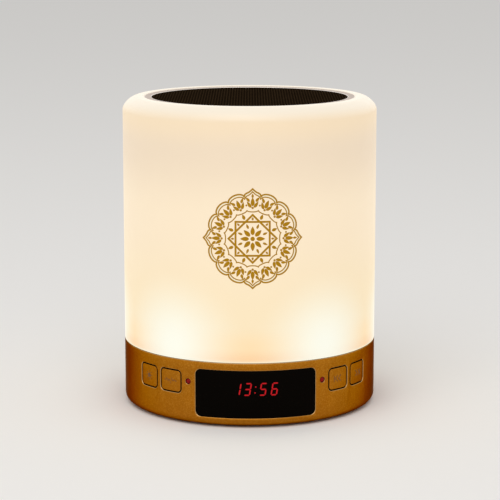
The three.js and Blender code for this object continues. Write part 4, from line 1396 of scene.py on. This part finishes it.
@dataclass
class Medallion:
    """The printed medallion: lobed lines, a band of palmettes, and a star with a rosette."""

    body: Body
    arc: float = -1.6 * MM  # its centre's place along the wall
    height: float = 84.0 * MM
    back: float = 57.42 * MM  # radius of the ink's back, just inside the wall's face
    face: float = 57.475 * MM  # and of its face
    strips: int = 24
    units: int = 16  # scallops, and palmettes in the band
    unit_steps: int = 14
    sides: int = 4  # each with a pointed lobe
    cusp: float = 18.7 * MM  # radius where two scallops meet
    scallop: float = 1.55 * MM  # height of a scallop
    point: float = 2.9 * MM  # and of a pointed lobe
    fullness: float = 0.6  # of a scallop: 0.5 is round, more is slimmer
    tip_share: float = 0.44  # of a pointed lobe's height
    tip_reach: float = 0.5  # half width of its tip, in half scallops
    tip_taper: float = 1.7
    line: float = 0.68 * MM
    fine_line: float = 0.48 * MM
    line_gap: float = 1.2 * MM
    halo_depth: float = 0.012 * MM  # the cream band lies this much under the lines
    inner_cusp: float = 12.5 * MM
    inner_scallop: float = -0.8 * MM  # these bow inwards
    leaf_steps: int = 9
    leaf_belly: float = 0.75  # below 1, a leaf is widest near its foot
    leaf_fullness: float = 0.9
    band_foot: float = 13.3 * MM  # radius where the palmettes start
    bud: Leaf = Leaf(0.8, 3.9, 1.7)
    side_leaves: tuple[Leaf, ...] = (
        Leaf(0.3, 3.3, 1.38, 0.45, 48, -0.2), Leaf(2.7, 2.5, 1.2, 1.45, 24, 0.25))
    dots: tuple[tuple[float, Flat, int], ...] = (  # radius and place in mm, and sides
        (0.5, (0.1, 0.0), 12), (0.42, (1.2, 2.68), 10))
    crown: Leaf = Leaf(17.7, 1.9, 1.0)
    star: float = 10.4 * MM  # radius of its corners
    star_line: float = 0.85 * MM
    star_step: float = 0.006 * MM  # one square lies this much under the other
    points: int = 8  # of the star
    rosette: tuple[tuple[Leaf, float], ...] = (  # each leaf, and its turn in points of the star
        (Leaf(1.55, 3.85, 1.85), 0), (Leaf(4.7, 2.3, 1.0), 0.5), (Leaf(8.0, 1.45, 0.9), 0),
        (Leaf(8.944, 2.5, 1.35), 0.5))
    disc: float = 0.95 * MM
    disc_sides: int = 20

    def lobes(self, cusp: float, scallop: float, point: float) -> list[Flat]:
        """Give a line of scallops with a pointed lobe on each of the four sides.

        Args:
            cusp: Radius where two scallops meet.
            scallop: Height of a scallop.
            point: Height of a pointed lobe, or 0 for scallops alone.

        Returns:
            The line's points round the medallion's centre.
        """
        points = []
        for step in range(self.units * self.unit_steps):
            unit, part = divmod(step + self.unit_steps // 2, self.unit_steps)
            side = 2 * part / self.unit_steps - 1
            bow = max(0.0, 1 - side ** 2)
            out = scallop * bow ** self.fullness
            if unit % (self.units // self.sides) == 0 and point:
                tip = max(0.0, 1 - abs(side) / self.tip_reach) ** self.tip_taper
                out = point * ((1 - self.tip_share) * math.sqrt(bow) + self.tip_share * tip)
            turn = TURN * step / (self.units * self.unit_steps)
            points.append(((cusp + out) * math.cos(turn), (cusp + out) * math.sin(turn)))
        return points

    def line_band(self, name: str, points: Sequence[Flat], width: float) -> Mesh:
        """Lay a closed line as a flat band.

        Args:
            name: The piece's name.
            points: The line's points, round the medallion's centre.
            width: The line's width.

        Returns:
            The band.
        """
        sides = [Bench.outline(name, [(x, -self.face, z) for x, z in offset_loop(points, way * width / 2)])
                 for way in (1, -1)]
        band = Bench.join(*sides)
        depth = self.face - self.back
        with Bench.editing(band):
            bpy.ops.mesh.bridge_edge_loops()
            bpy.ops.mesh.extrude_region_move(TRANSFORM_OT_translate={"value": (0, depth, 0)})
        Bench.tidy(band)
        return band

    def tile(self, name: str, points: Sequence[Flat]) -> Mesh:
        """Lay a flat shape as thick as the ink."""
        return Bench.plate(name, points, -self.face, -self.back)

    def leaf(self, name: str, form: Leaf, start: float = 0.0) -> Mesh:
        """Lay a leaf.

        Args:
            name: The piece's name.
            form: Its form.
            start: Distance from the medallion's centre to where it is laid.

        Returns:
            The leaf.
        """
        length, half = form.length * MM, form.width * MM / 2
        right, left = [], []
        for step in range(self.leaf_steps + 1):
            along = step / self.leaf_steps
            belly = max(0.0, math.sin(math.pi * along ** self.leaf_belly)) if step < self.leaf_steps else 0.0
            wide = half * belly ** self.leaf_fullness
            bend = form.curl * length * along ** 2
            right.append((length * along, bend - wide))
            left.append((length * along, bend + wide))
        foot = (start + form.out * MM, form.side * MM)
        return self.tile(name, placed(right + left[-2:0:-1], foot, math.radians(form.angle)))

    def around(self, unit: Mesh, name: str, count: int) -> Mesh:
        """Repeat a unit round the medallion's centre.

        Args:
            unit: The unit.
            name: How the copies' names start.
            count: How many there are in all.

        Returns:
            All of them in one piece.
        """
        copies = []
        for index in range(1, count):
            twin = Bench.copy(unit, f"{name}_{index}")
            Bench.turn(twin, TURN * index / count, "Y")
            copies.append(twin)
        return Bench.join(unit, *copies)

    def palmette(self) -> Mesh:
        """Lay one unit of the band: a bud between two leaves and two curls, with a dot and a seed.

        Returns:
            The unit.
        """
        parts = [self.leaf("palmette", self.bud, self.band_foot)]
        for radius, place, sides in self.dots:
            (across, up), = from_mm([place])
            parts.append(self.tile("palmette_dot", circle(radius * MM, (self.band_foot + across, up), sides)))
        for form in [leaf.mirrored() for leaf in self.side_leaves] + list(self.side_leaves):
            parts.append(self.leaf("palmette_leaf", form, self.band_foot))
        return Bench.join(*parts)

    def star_band(self) -> Mesh:
        """Lay the star: two squares, one turned by an eighth and a little lower.

        Returns:
            The star.
        """
        squares = []
        for index in range(2):
            corners = placed(circle(self.star, (0, 0), 4), turn=TURN * index / self.points)
            squares.append(self.line_band("star", corners, self.star_line))
        Bench.move(squares[1], (0, self.star_step, 0))
        return Bench.join(*squares)

    def flower(self) -> Mesh:
        """Lay the rosette in the middle, with its buds in the star's corners.

        Returns:
            The rosette and the buds.
        """
        parts = [self.tile("rosette_disc", circle(self.disc, (0, 0), self.disc_sides))]
        for form, turn in self.rosette:
            first = self.leaf("rosette", form)
            Bench.turn(first, TURN * turn / self.points, "Y")
            parts.append(self.around(first, "rosette", self.points))
        return Bench.join(*parts)

    def place(self, piece: Mesh, name: str, slot: str, ink: Finish = Finishes.INK) -> Mesh:
        """Put a flat print at its height on the wall, roll it round and ink it.

        Args:
            piece: The flat print.
            name: The piece's name.
            slot: Not used.
            ink: The ink.

        Returns:
            The print.
        """
        Bench.move(piece, (self.arc, 0, self.height))
        reach = self.cusp + self.point
        Bench.slice(piece, self.arc - reach, self.arc + reach, self.strips)
        self.body.wrap(piece)
        Bench.tidy(piece)
        Bench.rename(piece, name)
        return dress(piece, ink)

    def build(self) -> None:
        """Print the medallion's lines, band and star."""
        outer, between, second = (self.lobes(self.cusp - inset, self.scallop, self.point)
                                  for inset in (0.0, self.line_gap / 2, self.line_gap))
        centre = self.lobes(self.inner_cusp, self.inner_scallop, 0)
        lines = Bench.join(
            self.line_band("lines", outer, self.line),
            self.line_band("lines_inner", second, self.fine_line),
            self.line_band("lines_centre", centre, self.fine_line),
        )
        halo = self.line_band("halo", between, self.line_gap)
        Bench.move(halo, (0, self.halo_depth, 0))
        self.place(halo, "medallion_halo", "milky_shade", Finishes.CREAM)
        self.place(lines, "medallion_lines", "gold_paint")
        band = Bench.join(self.around(self.palmette(), "palmette", self.units),
                          self.around(self.leaf("crown", self.crown), "crown", self.sides))
        self.place(band, "medallion_palmettes", "gold_paint")
        self.place(Bench.join(self.star_band(), self.flower()), "medallion_star", "gold_paint")


@dataclass
class KeyPlaces:
    """Sizes that the base's openings and the keys share."""

    width: float = 11.9 * MM
    height: float = 10.4 * MM
    corner: float = 2.0 * MM
    groove: float = 0.45 * MM  # gap round a key
    middle: float = 18.9 * MM  # height of a key's middle
    inner_arc: float = 40.351 * MM  # places of the keys' middles along the wall
    outer_arc: float = 54.201 * MM


class KeyUse(Enum):
    """What each key does, with its side of the window and its place beside it."""

    MODE = ("mode", -1, True)
    EFFECTS = ("effects", -1, False)
    PREVIOUS = ("previous", 1, False)
    NEXT = ("next", 1, True)

    @property
    def label(self) -> str:
        """The key's name in the frame."""
        return self.value[0]

    def arc(self, places: KeyPlaces) -> float:
        """Give the arc from the front to the key's middle."""
        return self.value[1] * (places.outer_arc if self.value[2] else places.inner_arc)


@dataclass
class WindowPlace:
    """Sizes of the clock window's opening."""

    half_arc: float = 27.4 * MM
    bottom: float = 4.5 * MM
    top: float = 25.75 * MM
    corner: float = 2.3 * MM
    gap: float = 0.15 * MM

    @property
    def middle(self) -> float:
        """Height of the window's middle."""
        return (self.bottom + self.top) / 2


@dataclass
class LensPlace:
    """Sizes of the two indicator lenses."""

    arc: float = 31.0 * MM
    height: float = 19.6 * MM
    radius: float = 1.15 * MM
    gap: float = 0.15 * MM


@dataclass(frozen=True)
class Slot:
    """A slot for a port in the rear of the wall. Its sizes are in mm."""

    width: float
    height: float
    across: float  # place of its middle along X
    rise: float  # its middle above the ports' floor
    relief: float = 0.6  # room for a plug's collar

    def outline(self, floor: float) -> list[Flat]:
        """Give its outline above a floor, with corners of a third of its height.

        Args:
            floor: The height from which its rise counts.

        Returns:
            Its corners.
        """
        width, height = (size + 2 * self.relief for size in (self.width, self.height))
        middle = (self.across * MM, floor + self.rise * MM)
        return rounded(width * MM, height * MM, height * MM / 3, middle)


@dataclass
class BaseRing:
    """The gold base: a wall with a rounded foot, pierced for the window, the keys and the ports."""

    body: Body
    keys: KeyPlaces
    window: WindowPlace
    lens: LensPlace
    seam: float = math.radians(-100)
    round: float = 3.0 * MM
    round_steps: int = 8
    rim_width: float = 1.5 * MM
    rim_height: float = 2.6 * MM
    top_edge: float = 0.3 * MM
    opening_edge: float = 0.3 * MM
    lens_edge: float = 0.2 * MM
    edge_steps: int = 3
    port_height: float = 7.1 * MM
    port_reach: float = 40 * MM  # the port cutters start at this Y
    slots: tuple[Slot, ...] = (
        Slot(9.0, 3.3, -10.0, 1.65),  # charging
        Slot(11.4, 1.0, 13.5, 1.1),  # card
        Slot(5.4, 2.4, 0.0, 1.9, 0.0))  # power knob
    jack: float = 3.1 * MM  # radius of the sound socket's opening
    jack_place: Flat = (-20.6 * MM, 2.6 * MM)
    round_sides: int = 32
    lens_sides: int = 24

    def profile(self) -> list[Flat]:
        """Give the wall's section: distance from the axis and height.

        Returns:
            Distance from the axis and height of each corner.
        """
        radius, bottom, top = self.body.radius, self.body.base_bottom, self.body.base_top
        rim, edge = radius - self.round - self.rim_width, self.top_edge
        return [
            (rim, bottom),
            *arc((radius - self.round, bottom + self.round), self.round, -TURN / 4, 0, self.round_steps),
            (radius, top - edge), (radius - edge * EDGE_MIDDLE, top - edge * EDGE_MIDDLE),
            (radius - edge, top), (self.body.inner, top), (self.body.inner, bottom + self.rim_height),
            (rim, bottom + self.rim_height),
        ]

    def flat_wall(self) -> Mesh:
        """Extrude the wall's section along its unrolled length.

        Returns:
            The flat wall.
        """
        start = self.seam * self.body.radius
        length = self.body.round_length
        wall = Bench.outline("base_wall", [(start, -out, up) for out, up in self.profile()], filled=True)
        with Bench.editing(wall):
            bpy.ops.mesh.extrude_region_move(TRANSFORM_OT_translate={"value": (length, 0, 0)})
        Bench.tidy(wall)
        return wall

    def flared_cutter(self, name: str, shape: Sequence[Flat], edge: float) -> Mesh:
        """Make a cutter that widens at the wall's face, so that it leaves a rounded edge.

        Args:
            name: The cutter's name.
            shape: The opening, in the flat.
            edge: Radius of the round.

        Returns:
            The cutter.
        """
        arcs, heights = zip(*shape)
        middle = ((min(arcs) + max(arcs)) / 2, (min(heights) + max(heights)) / 2)
        width, tall = max(arcs) - min(arcs), max(heights) - min(heights)
        rings = [(-self.body.radius - MM, edge)]
        for step in range(self.edge_steps + 1):
            turn = TURN / 4 * step / self.edge_steps
            rings.append((edge * (1 - math.cos(turn)) - self.body.radius, edge * (1 - math.sin(turn))))
        rings.append((MM - self.body.inner, 0.0))
        cutter = Bench.outline(name, [(x, rings[0][0], z) for x, z in offset_loop(shape, edge)], filled=True)
        with Bench.editing(cutter):
            for (near, wide), (far, narrow) in zip(rings, rings[1:]):
                bpy.ops.mesh.extrude_region_move(TRANSFORM_OT_translate={"value": (0, far - near, 0)})
                across, up = ((size + 2 * narrow) / (size + 2 * wide) for size in (width, tall))
                bpy.ops.transform.resize(value=(across, 1, up), center_override=(middle[0], far, middle[1]))
        Bench.tidy(cutter)
        return cutter

    def front_cutters(self) -> list[Mesh]:
        """Make the cutters of the window, keys and lenses, in the flat.

        Returns:
            The cutters.
        """
        window = rounded(2 * self.window.half_arc, self.window.top - self.window.bottom, self.window.corner,
                         (0, self.window.middle))
        cutters = [self.flared_cutter("window_cutter", window, self.opening_edge)]
        for use in KeyUse:
            shape = rounded(self.keys.width, self.keys.height, self.keys.corner,
                            (use.arc(self.keys), self.keys.middle))
            cutters.append(self.flared_cutter(f"{use.label}_cutter", shape, self.opening_edge))
        for side in (-1, 1):
            shape = circle(self.lens.radius + self.lens.gap, (side * self.lens.arc, self.lens.height),
                           self.lens_sides)
            cutters.append(self.flared_cutter("lens_cutter", shape, self.lens_edge))
        return cutters

    def port_cutters(self) -> list[Mesh]:
        """Make the cutters of the rear ports, straight through the wall.

        Returns:
            The cutters.
        """
        shapes = [slot.outline(self.port_height) for slot in self.slots]
        across, rise = self.jack_place
        shapes.append(circle(self.jack, (across, self.port_height + rise), self.round_sides))
        outside = self.body.radius + MM
        return [Bench.plate("port_cutter", shape, self.port_reach, outside) for shape in shapes]

    def build(self) -> Mesh:
        """Pierce the flat wall, break its edges, roll it up and cut the ports.

        Returns:
            The base's shell.
        """
        wall = self.flat_wall()
        Bench.cut(wall, *self.front_cutters())
        start = self.seam * self.body.radius
        Bench.slice(wall, start, start + self.body.round_length, self.body.strips)
        self.drop_ends(wall, start)
        self.body.wrap(wall)
        Bench.tidy(wall)
        Bench.cut(wall, *self.port_cutters())
        Bench.smooth(wall)
        Bench.rename(wall, "base_shell")
        return dress(wall, Finishes.GOLD, replaces=["base_ring"])

    def drop_ends(self, wall: Mesh, start: float) -> None:
        """Open the flat wall's two ends, which meet when it is rolled.

        Args:
            wall: The flat wall.
            start: X of its first end.
        """
        end = start + self.body.round_length
        near = 0.01 * MM
        Bench.drop_faces(wall, lambda centre, _: abs(centre.x - start) < near or abs(centre.x - end) < near)


@dataclass
class Keys:
    """The four gold keys with their marks, each on its own button body."""

    body: Body
    places: KeyPlaces
    face: float = 57.4 * MM
    edge: float = 0.3 * MM
    lip: float = 0.9 * MM
    mark_height: float = 0.03 * MM
    sun: float = 1.05 * MM
    sun_sides: int = 20
    rays: int = 8
    # The marks' outlines round the key's middle, all in mm
    ray: tuple[Flat, ...] = ((1.55, -0.16), (2.15, -0.16), (2.15, 0.16), (1.55, 0.16))
    half_stroke: float = 0.23  # half the sound wave's line
    wave: tuple[Flat, ...] = (
        (-3.3, 0.0), (-2.6, 0.0), (-2.1, 0.9), (-1.5, -0.5), (-1.1, 0.15), (-0.6, 0.15), (0.0, -1.5),
        (0.65, 1.2), (1.1, 0.0), (1.7, 0.0), (2.1, 0.6), (2.5, 0.0), (3.3, 0.0))
    arrow: tuple[Flat, ...] = (
        (0.0, -1.4), (0.5, -1.4), (2.0, 0.0), (0.5, 1.4), (0.0, 1.4), (1.5, 0.0))
    arrow_starts: tuple[float, ...] = (-1.9, 0.1)
    # The bar at the arrows' end
    stop_size: Flat = (0.36 * MM, 2.8 * MM)
    stop_corner: float = 0.1 * MM
    stop_place: float = 2.45 * MM

    def cap(self, use: KeyUse) -> None:
        """Make a key's cap with the lips that keep it behind the wall.

        Args:
            use: Which key.
        """
        places = self.places
        cap = self.body.lipped_plate(f"{use.label}_cap", (places.width, places.height), places.corner,
                                     (use.arc(places), places.middle), places.groove, self.lip,
                                     self.face, self.edge)
        dress(cap, Finishes.KEY_GOLD, f"{use.label}_button", [f"{use.label}_key"])

    def mark_shapes(self, use: KeyUse) -> list[list[Flat]]:
        """Give the outlines of a key's mark round the key's middle.

        Args:
            use: Which key.

        Returns:
            One outline for each part of the mark.
        """
        if use is KeyUse.MODE:
            rays = [placed(from_mm(self.ray), turn=TURN * index / self.rays) for index in range(self.rays)]
            return [circle(self.sun, (0, 0), self.sun_sides), *rays]
        if use is KeyUse.EFFECTS:
            upper, lower = ([(x, z + way * self.half_stroke) for x, z in self.wave] for way in (1, -1))
            return [from_mm(lower + upper[::-1])]
        way = 1 if use is KeyUse.NEXT else -1
        arrows = [from_mm([(way * (start + x), z) for x, z in self.arrow][::way])
                  for start in self.arrow_starts]
        return [*arrows, rounded(*self.stop_size, self.stop_corner, (way * self.stop_place, 0), steps=2)]

    def mark(self, use: KeyUse) -> None:
        """Burn a key's mark into its face.

        Args:
            use: Which key.
        """
        middle = (use.arc(self.places), self.places.middle)
        top, root = self.face + self.mark_height, self.face - self.edge
        parts = [self.body.curved_plate(f"{use.label}_mark_part", placed(shape, middle), top, root)
                 for shape in self.mark_shapes(use)]
        mark = Bench.join(*parts)
        Bench.rename(mark, f"{use.label}_mark")
        dress(mark, Finishes.MARK, f"{use.label}_button")

    def build(self) -> None:
        """Make every key and its mark."""
        for use in KeyUse:
            self.cap(use)
            self.mark(use)


class Segment(Enum):
    """The seven bars of a digit: start and end in digit widths and half heights."""

    TOP = ((0, 2), (1, 2))
    MIDDLE = ((0, 1), (1, 1))
    BOTTOM = ((0, 0), (1, 0))
    UPPER_LEFT = ((0, 1), (0, 2))
    UPPER_RIGHT = ((1, 1), (1, 2))
    LOWER_LEFT = ((0, 0), (0, 1))
    LOWER_RIGHT = ((1, 0), (1, 1))


LIT_BARS: dict[str, tuple[Segment, ...]] = {
    "1": (Segment.UPPER_RIGHT, Segment.LOWER_RIGHT),
    "3": (Segment.TOP, Segment.MIDDLE, Segment.BOTTOM, Segment.UPPER_RIGHT, Segment.LOWER_RIGHT),
    "5": (Segment.TOP, Segment.MIDDLE, Segment.BOTTOM, Segment.UPPER_LEFT, Segment.LOWER_RIGHT),
    "6": (Segment.TOP, Segment.MIDDLE, Segment.BOTTOM, Segment.UPPER_LEFT, Segment.LOWER_LEFT,
          Segment.LOWER_RIGHT),
}


@dataclass
class ClockWindow:
    """The smoked window with the lit time behind it."""

    body: Body
    place: WindowPlace
    face: float = 57.35 * MM
    edge: float = 0.22 * MM
    lip: float = 0.8 * MM
    glow_height: float = 0.02 * MM
    digit_width: float = 2.35 * MM
    digit_half: float = 2.59 * MM
    digit_foot: float = 15.03 * MM
    bar: float = 0.6 * MM
    bar_gap: float = 0.07 * MM
    slant: float = 0.17
    digits: tuple[tuple[str, float], ...] = (
        ("1", -9.85 * MM), ("3", -5.35 * MM), ("5", 1.45 * MM), ("6", 6.5 * MM))
    colon: tuple[Flat, Flat] = ((-0.21 * MM, 18.73 * MM), (-0.54 * MM, 16.08 * MM))
    dot: float = 0.3 * MM
    dot_sides: int = 12

    def pane(self) -> Mesh:
        """Make the pane with its polished edge and the lips behind the wall.

        Returns:
            The pane.
        """
        place = self.place
        size = (2 * place.half_arc, place.top - place.bottom)
        pane = self.body.lipped_plate("window_pane", size, place.corner, (0, place.middle), place.gap,
                                      self.lip, self.face, self.edge)
        return dress(pane, Finishes.WINDOW, replaces=["clock_window"])

    def bar_shape(self, segment: Segment, foot: float) -> list[Flat]:
        """Give the outline of one bar: pointed at both ends and slanted.

        Args:
            segment: Which of the seven bars.
            foot: Arc of the digit's lower left corner.

        Returns:
            The bar's corners.
        """
        (x0, z0), (x1, z1) = segment.value
        start = Vector((x0 * self.digit_width, z0 * self.digit_half))
        end = Vector((x1 * self.digit_width, z1 * self.digit_half))
        along = (end - start).normalized()
        across = Vector((-along.y, along.x)) * self.bar / 2
        start, end = start + along * self.bar_gap, end - along * self.bar_gap
        inner_start, inner_end = start + along * self.bar / 2, end - along * self.bar / 2
        corners = [start, inner_start - across, inner_end - across, end, inner_end + across,
                   inner_start + across]
        return [(foot + corner.x + self.slant * corner.y, self.digit_foot + corner.y) for corner in corners]

    def time(self) -> Mesh:
        """Make the lit bars of the time and the colon.

        Returns:
            The lit time.
        """
        shapes = [self.bar_shape(bar, foot) for digit, foot in self.digits for bar in LIT_BARS[digit]]
        shapes += [circle(self.dot, middle, self.dot_sides) for middle in self.colon]
        parts = [self.body.curved_plate(f"time_part_{index}", shape, self.face + self.glow_height,
                                        self.face - self.edge) for index, shape in enumerate(shapes)]
        lit = Bench.join(*parts)
        Bench.rename(lit, "time_lit")
        return dress(lit, Finishes.DIGIT)

    def build(self) -> None:
        """Make the window and the time."""
        self.pane()
        self.time()


@dataclass
class Indicators:
    """The two red lenses beside the window."""

    body: Body
    place: LensPlace
    dome: float = 0.5 * MM
    dome_steps: int = 6
    flange: float = 0.35 * MM
    flange_depth: float = 0.7 * MM
    steps: int = 32

    def lens(self, side: int, name: str, node: str) -> Mesh:
        """Turn one lens upright, and lay it on its place in the wall.

        Args:
            side: -1 on the left, 1 on the right.
            name: The piece's name.
            node: The node that it replaces.

        Returns:
            The lens.
        """
        radius, foot = self.place.radius, self.body.radius - self.dome
        flange, top = radius + self.flange, self.body.lip_outer
        bottom = top - self.flange_depth
        lens = Bench.lathe(name, [
            (0.0, self.body.lip_inner), (radius, self.body.lip_inner), (radius, bottom), (flange, bottom),
            (flange, top), (radius, top), *arc((0, foot), radius, 0, TURN / 4, self.dome_steps, self.dome),
        ], self.steps)
        Bench.turn(lens, TURN / 4, "X")
        Bench.move(lens, (0, 0, self.place.height))
        Bench.turn(lens, side * self.place.arc / self.body.radius)
        Bench.smooth(lens)
        return dress(lens, Finishes.LENS, replaces=[node])

    def build(self) -> None:
        """Make both lenses."""
        self.lens(-1, "lens_left", "left_indicator")
        self.lens(1, "lens_right", "right_indicator")


@dataclass
class Underside:
    """What shows from below: the feet, the screws, and two ridges moulded on the bottom cover."""

    edge: float = 0.5 * MM  # of a foot
    dish: float = 3.6 * MM  # radius of the hollow under a foot
    dish_depth: float = 0.3 * MM
    sides: int = 48
    head: float = 2.66 * MM  # radius of a screw's head
    head_height: float = 1.4 * MM
    shaft: float = 1.25 * MM
    tip: float = 0.3 * MM
    recess: float = 0.7 * MM
    cross: Flat = (1.9 * MM, 0.32 * MM)  # half its length and half its width
    screw_steps: int = 32
    ridges: tuple[float, ...] = (26.0 * MM, 50.6 * MM)
    ridge_width: float = 0.8 * MM
    ridge_height: float = 0.3 * MM
    ridge_steps: int = 160

    def screw(self, index: int) -> Mesh:
        """Turn one screw and sink a cross in its head.

        Args:
            index: Which of the four.

        Returns:
            The screw.
        """
        name = f"base_screw_{index}"
        low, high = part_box(name)
        middle = (low + high) / 2
        bevel = self.recess / 3
        screw = Bench.lathe(f"cross_screw_{index}", [
            (0.0, low.z), (self.head - 2 * bevel, low.z), (self.head, low.z + bevel),
            (self.head, low.z + self.head_height), (self.shaft, low.z + self.head_height),
            (self.shaft, high.z - self.shaft), (self.tip, high.z), (0.0, high.z)], self.screw_steps)
        for across, along in (self.cross, self.cross[::-1]):
            Bench.clear()
            bpy.ops.mesh.primitive_cube_add(
                size=2, location=(0, 0, low.z), scale=(across, along, self.recess))
            cutter = bpy.context.object
            Bench.settle(cutter)
            Bench.cut(screw, cutter)
        Bench.turn(screw, index)  # each cross stands at an angle of its own
        Bench.move(screw, (middle.x, middle.y, 0))
        Bench.smooth(screw)
        return dress(screw, Finishes.ZINC, replaces=[name])

    def ridge(self, radius: float) -> None:
        """Turn one low ridge on the bottom cover.

        Args:
            radius: Radius of its middle.
        """
        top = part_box("bottom_cover")[0].z
        half = self.ridge_width / 2
        ridge = Bench.lathe(f"cover_ridge_{round(radius / MM)}", [
            (radius - half, top), (radius - half / 2, top - self.ridge_height),
            (radius + half / 2, top - self.ridge_height), (radius + half, top)], self.ridge_steps)
        Bench.smooth(ridge, SOFT_EDGE)
        dress(ridge, Finishes.BLACK)

    def build(self) -> None:
        """Make the four feet, the four screws and the ridges."""
        for radius in self.ridges:
            self.ridge(radius)
        for index in SETS_OF_FOUR:
            low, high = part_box(f"foot_{index}")
            middle = (low + high) / 2
            outer = (high.x - low.x) / 2
            foot = Bench.lathe(f"foot_pad_{index}", [
                (0.0, low.z + self.dish_depth), (self.dish, low.z + self.dish_depth),
                (self.dish + self.dish_depth, low.z), (outer - self.edge, low.z),
                (outer - self.edge * EDGE_MIDDLE, low.z + self.edge * EDGE_MIDDLE),
                (outer, low.z + self.edge),
                (outer, high.z), (0.0, high.z),
            ], self.sides)
            Bench.move(foot, (middle.x, middle.y, 0))
            Bench.smooth(foot)
            dress(foot, Finishes.RUBBER, replaces=[f"foot_{index}"])
            self.screw(index)


class Inner:
    """The frame's own nodes, which keep their shape and get their finishes."""

    FINISH_OF: tuple[tuple[Finish, tuple[str, ...]], ...] = (
        (Finishes.BLACK, ("bottom_cover", "clock_display", "chassis_plate", "speaker_basket",
                          "battery_holder", "sound_socket", "power_knob",
                          *(f"{use.label}_plunger" for use in KeyUse))),
        (Finishes.WHITE, ("core_tube", "speaker_ring")),
        (Finishes.ZINC, ("top_plate", "yoke", *(f"{use.label}_switch" for use in KeyUse),
                         *(f"speaker_screw_{index}" for index in SETS_OF_FOUR))),
        (Finishes.STEEL, ("charge_socket", "card_socket", "power_switch")),
        (Finishes.BOARD, ("left_key_board", "right_key_board", "main_board")),
        (Finishes.WHITE_BOARD, ("light_board",)),
        (Finishes.PULP, ("speaker_cone", "dust_cap")),
        (Finishes.COPPER, ("voice_coil",)),
        (Finishes.FERRITE, ("magnet",)),
        (Finishes.SLEEVE, ("battery_cell",)),
        (Finishes.RED_LEAD, ("battery_lead",)),
        (Finishes.GREY_LEAD, ("speaker_lead", "touch_lead")),
    )

    @staticmethod
    def build() -> None:
        """Dress every kept node."""
        for finish, names in Inner.FINISH_OF:
            dress_nodes(finish, *names)


@dataclass
class Studio:
    """The camera, the pale table, and plain soft light."""

    axis_distance: float = 0.86152
    height: float = 0.22318
    azimuth: float = math.radians(-2.9)
    pitch: float = math.radians(10.153)
    lens: float = 137.239  # on a 36 mm sensor
    shift: float = 0.0008
    floor_size: float = 24.0
    table_colour: str = "F8F6F3"
    sky: float = 0.62
    lamp_place: Point = (-0.3, -1.2, 1.5)
    lamp_aim: Point = (0, 0, 0.07)
    lamp_size: float = 1.8
    lamp_power: float = 14.0

    def camera(self) -> None:
        """Set the camera up where the photograph was taken from."""
        Bench.clear()
        place = (self.axis_distance * math.sin(self.azimuth),
                 -self.axis_distance * math.cos(self.azimuth), self.height)
        bpy.ops.object.camera_add(location=place, rotation=(TURN / 4 - self.pitch, 0, self.azimuth))
        camera = bpy.context.object
        camera.name = "camera"
        camera.data.lens = self.lens
        camera.data.shift_x = self.shift
        bpy.context.scene.camera = camera

    def floor(self) -> None:
        """Lay the pale table top, clear from below so that the underside can be seen."""
        Bench.clear()
        bpy.ops.mesh.primitive_plane_add(size=self.floor_size, location=(0, 0, 0))
        floor = bpy.context.object
        floor.name = "floor"
        material = bpy.data.materials.new("pale_table")
        material.use_nodes = True
        tree = material.node_tree
        tree.nodes.clear()
        diffuse = add_node(tree, "ShaderNodeBsdfDiffuse", {"Color": linear(self.table_colour)})
        below = add_node(tree, "ShaderNodeNewGeometry").outputs["Backfacing"]
        open_side = add_node(tree, "ShaderNodeBsdfTransparent")
        sides = add_node(tree, "ShaderNodeMixShader", {
            0: below, 1: diffuse.outputs[0], 2: open_side.outputs[0]})
        add_node(tree, "ShaderNodeOutputMaterial", {"Surface": sides.outputs[0]})
        floor.data.materials.append(material)

    def world(self) -> None:
        """Fill the room with even light, white where it is seen or mirrored."""
        world = bpy.data.worlds.new("studio")
        bpy.context.scene.world = world
        world.use_nodes = True
        tree = world.node_tree
        tree.nodes.clear()
        path = add_node(tree, "ShaderNodeLightPath")
        seen = path.outputs["Is Camera Ray"]
        for kind in ("Is Glossy Ray", "Is Transmission Ray"):
            seen = add_node(tree, "ShaderNodeMath", {0: seen, 1: path.outputs[kind]},
                            operation="MAXIMUM").outputs[0]
        strength = add_node(tree, "ShaderNodeMapRange", {"Value": seen, "To Min": self.sky})
        light = add_node(tree, "ShaderNodeBackground", {
            "Color": linear("FFFFFF"), "Strength": strength.outputs["Result"]})
        add_node(tree, "ShaderNodeOutputWorld", {"Surface": light.outputs[0]})

    def lamp(self) -> None:
        """Hang a soft square light that looks at the lamp's middle."""
        Bench.clear()
        aim = Vector(self.lamp_aim) - Vector(self.lamp_place)
        bpy.ops.object.light_add(type="AREA", location=self.lamp_place,
                                 rotation=aim.to_track_quat("-Z", "Y").to_euler())
        light = bpy.context.object
        light.name = "key_light"
        light.data.size = self.lamp_size
        light.data.energy = self.lamp_power

    def build(self) -> None:
        """Set up the studio."""
        self.floor()
        self.world()
        self.lamp()
        bpy.context.scene.view_settings.view_transform = "Standard"


def main() -> None:
    """Build the lamp's looks in order."""
    logging.basicConfig(level=logging.INFO, format="%(name)s: %(message)s")
    studio = Studio()
    studio.camera()
    body = Body()
    keys, window, lens = KeyPlaces(), WindowPlace(), LensPlace()
    Shade(body).build()
    Medallion(body).build()
    TouchRing().build()
    Grille().build()
    Suspension().build()
    BaseRing(body, keys, window, lens).build()
    ClockWindow(body, window).build()
    Indicators(body, lens).build()
    Keys(body, keys).build()
    Underside().build()
    Inner.build()
    studio.build()


if __name__ == "__main__":
    main()
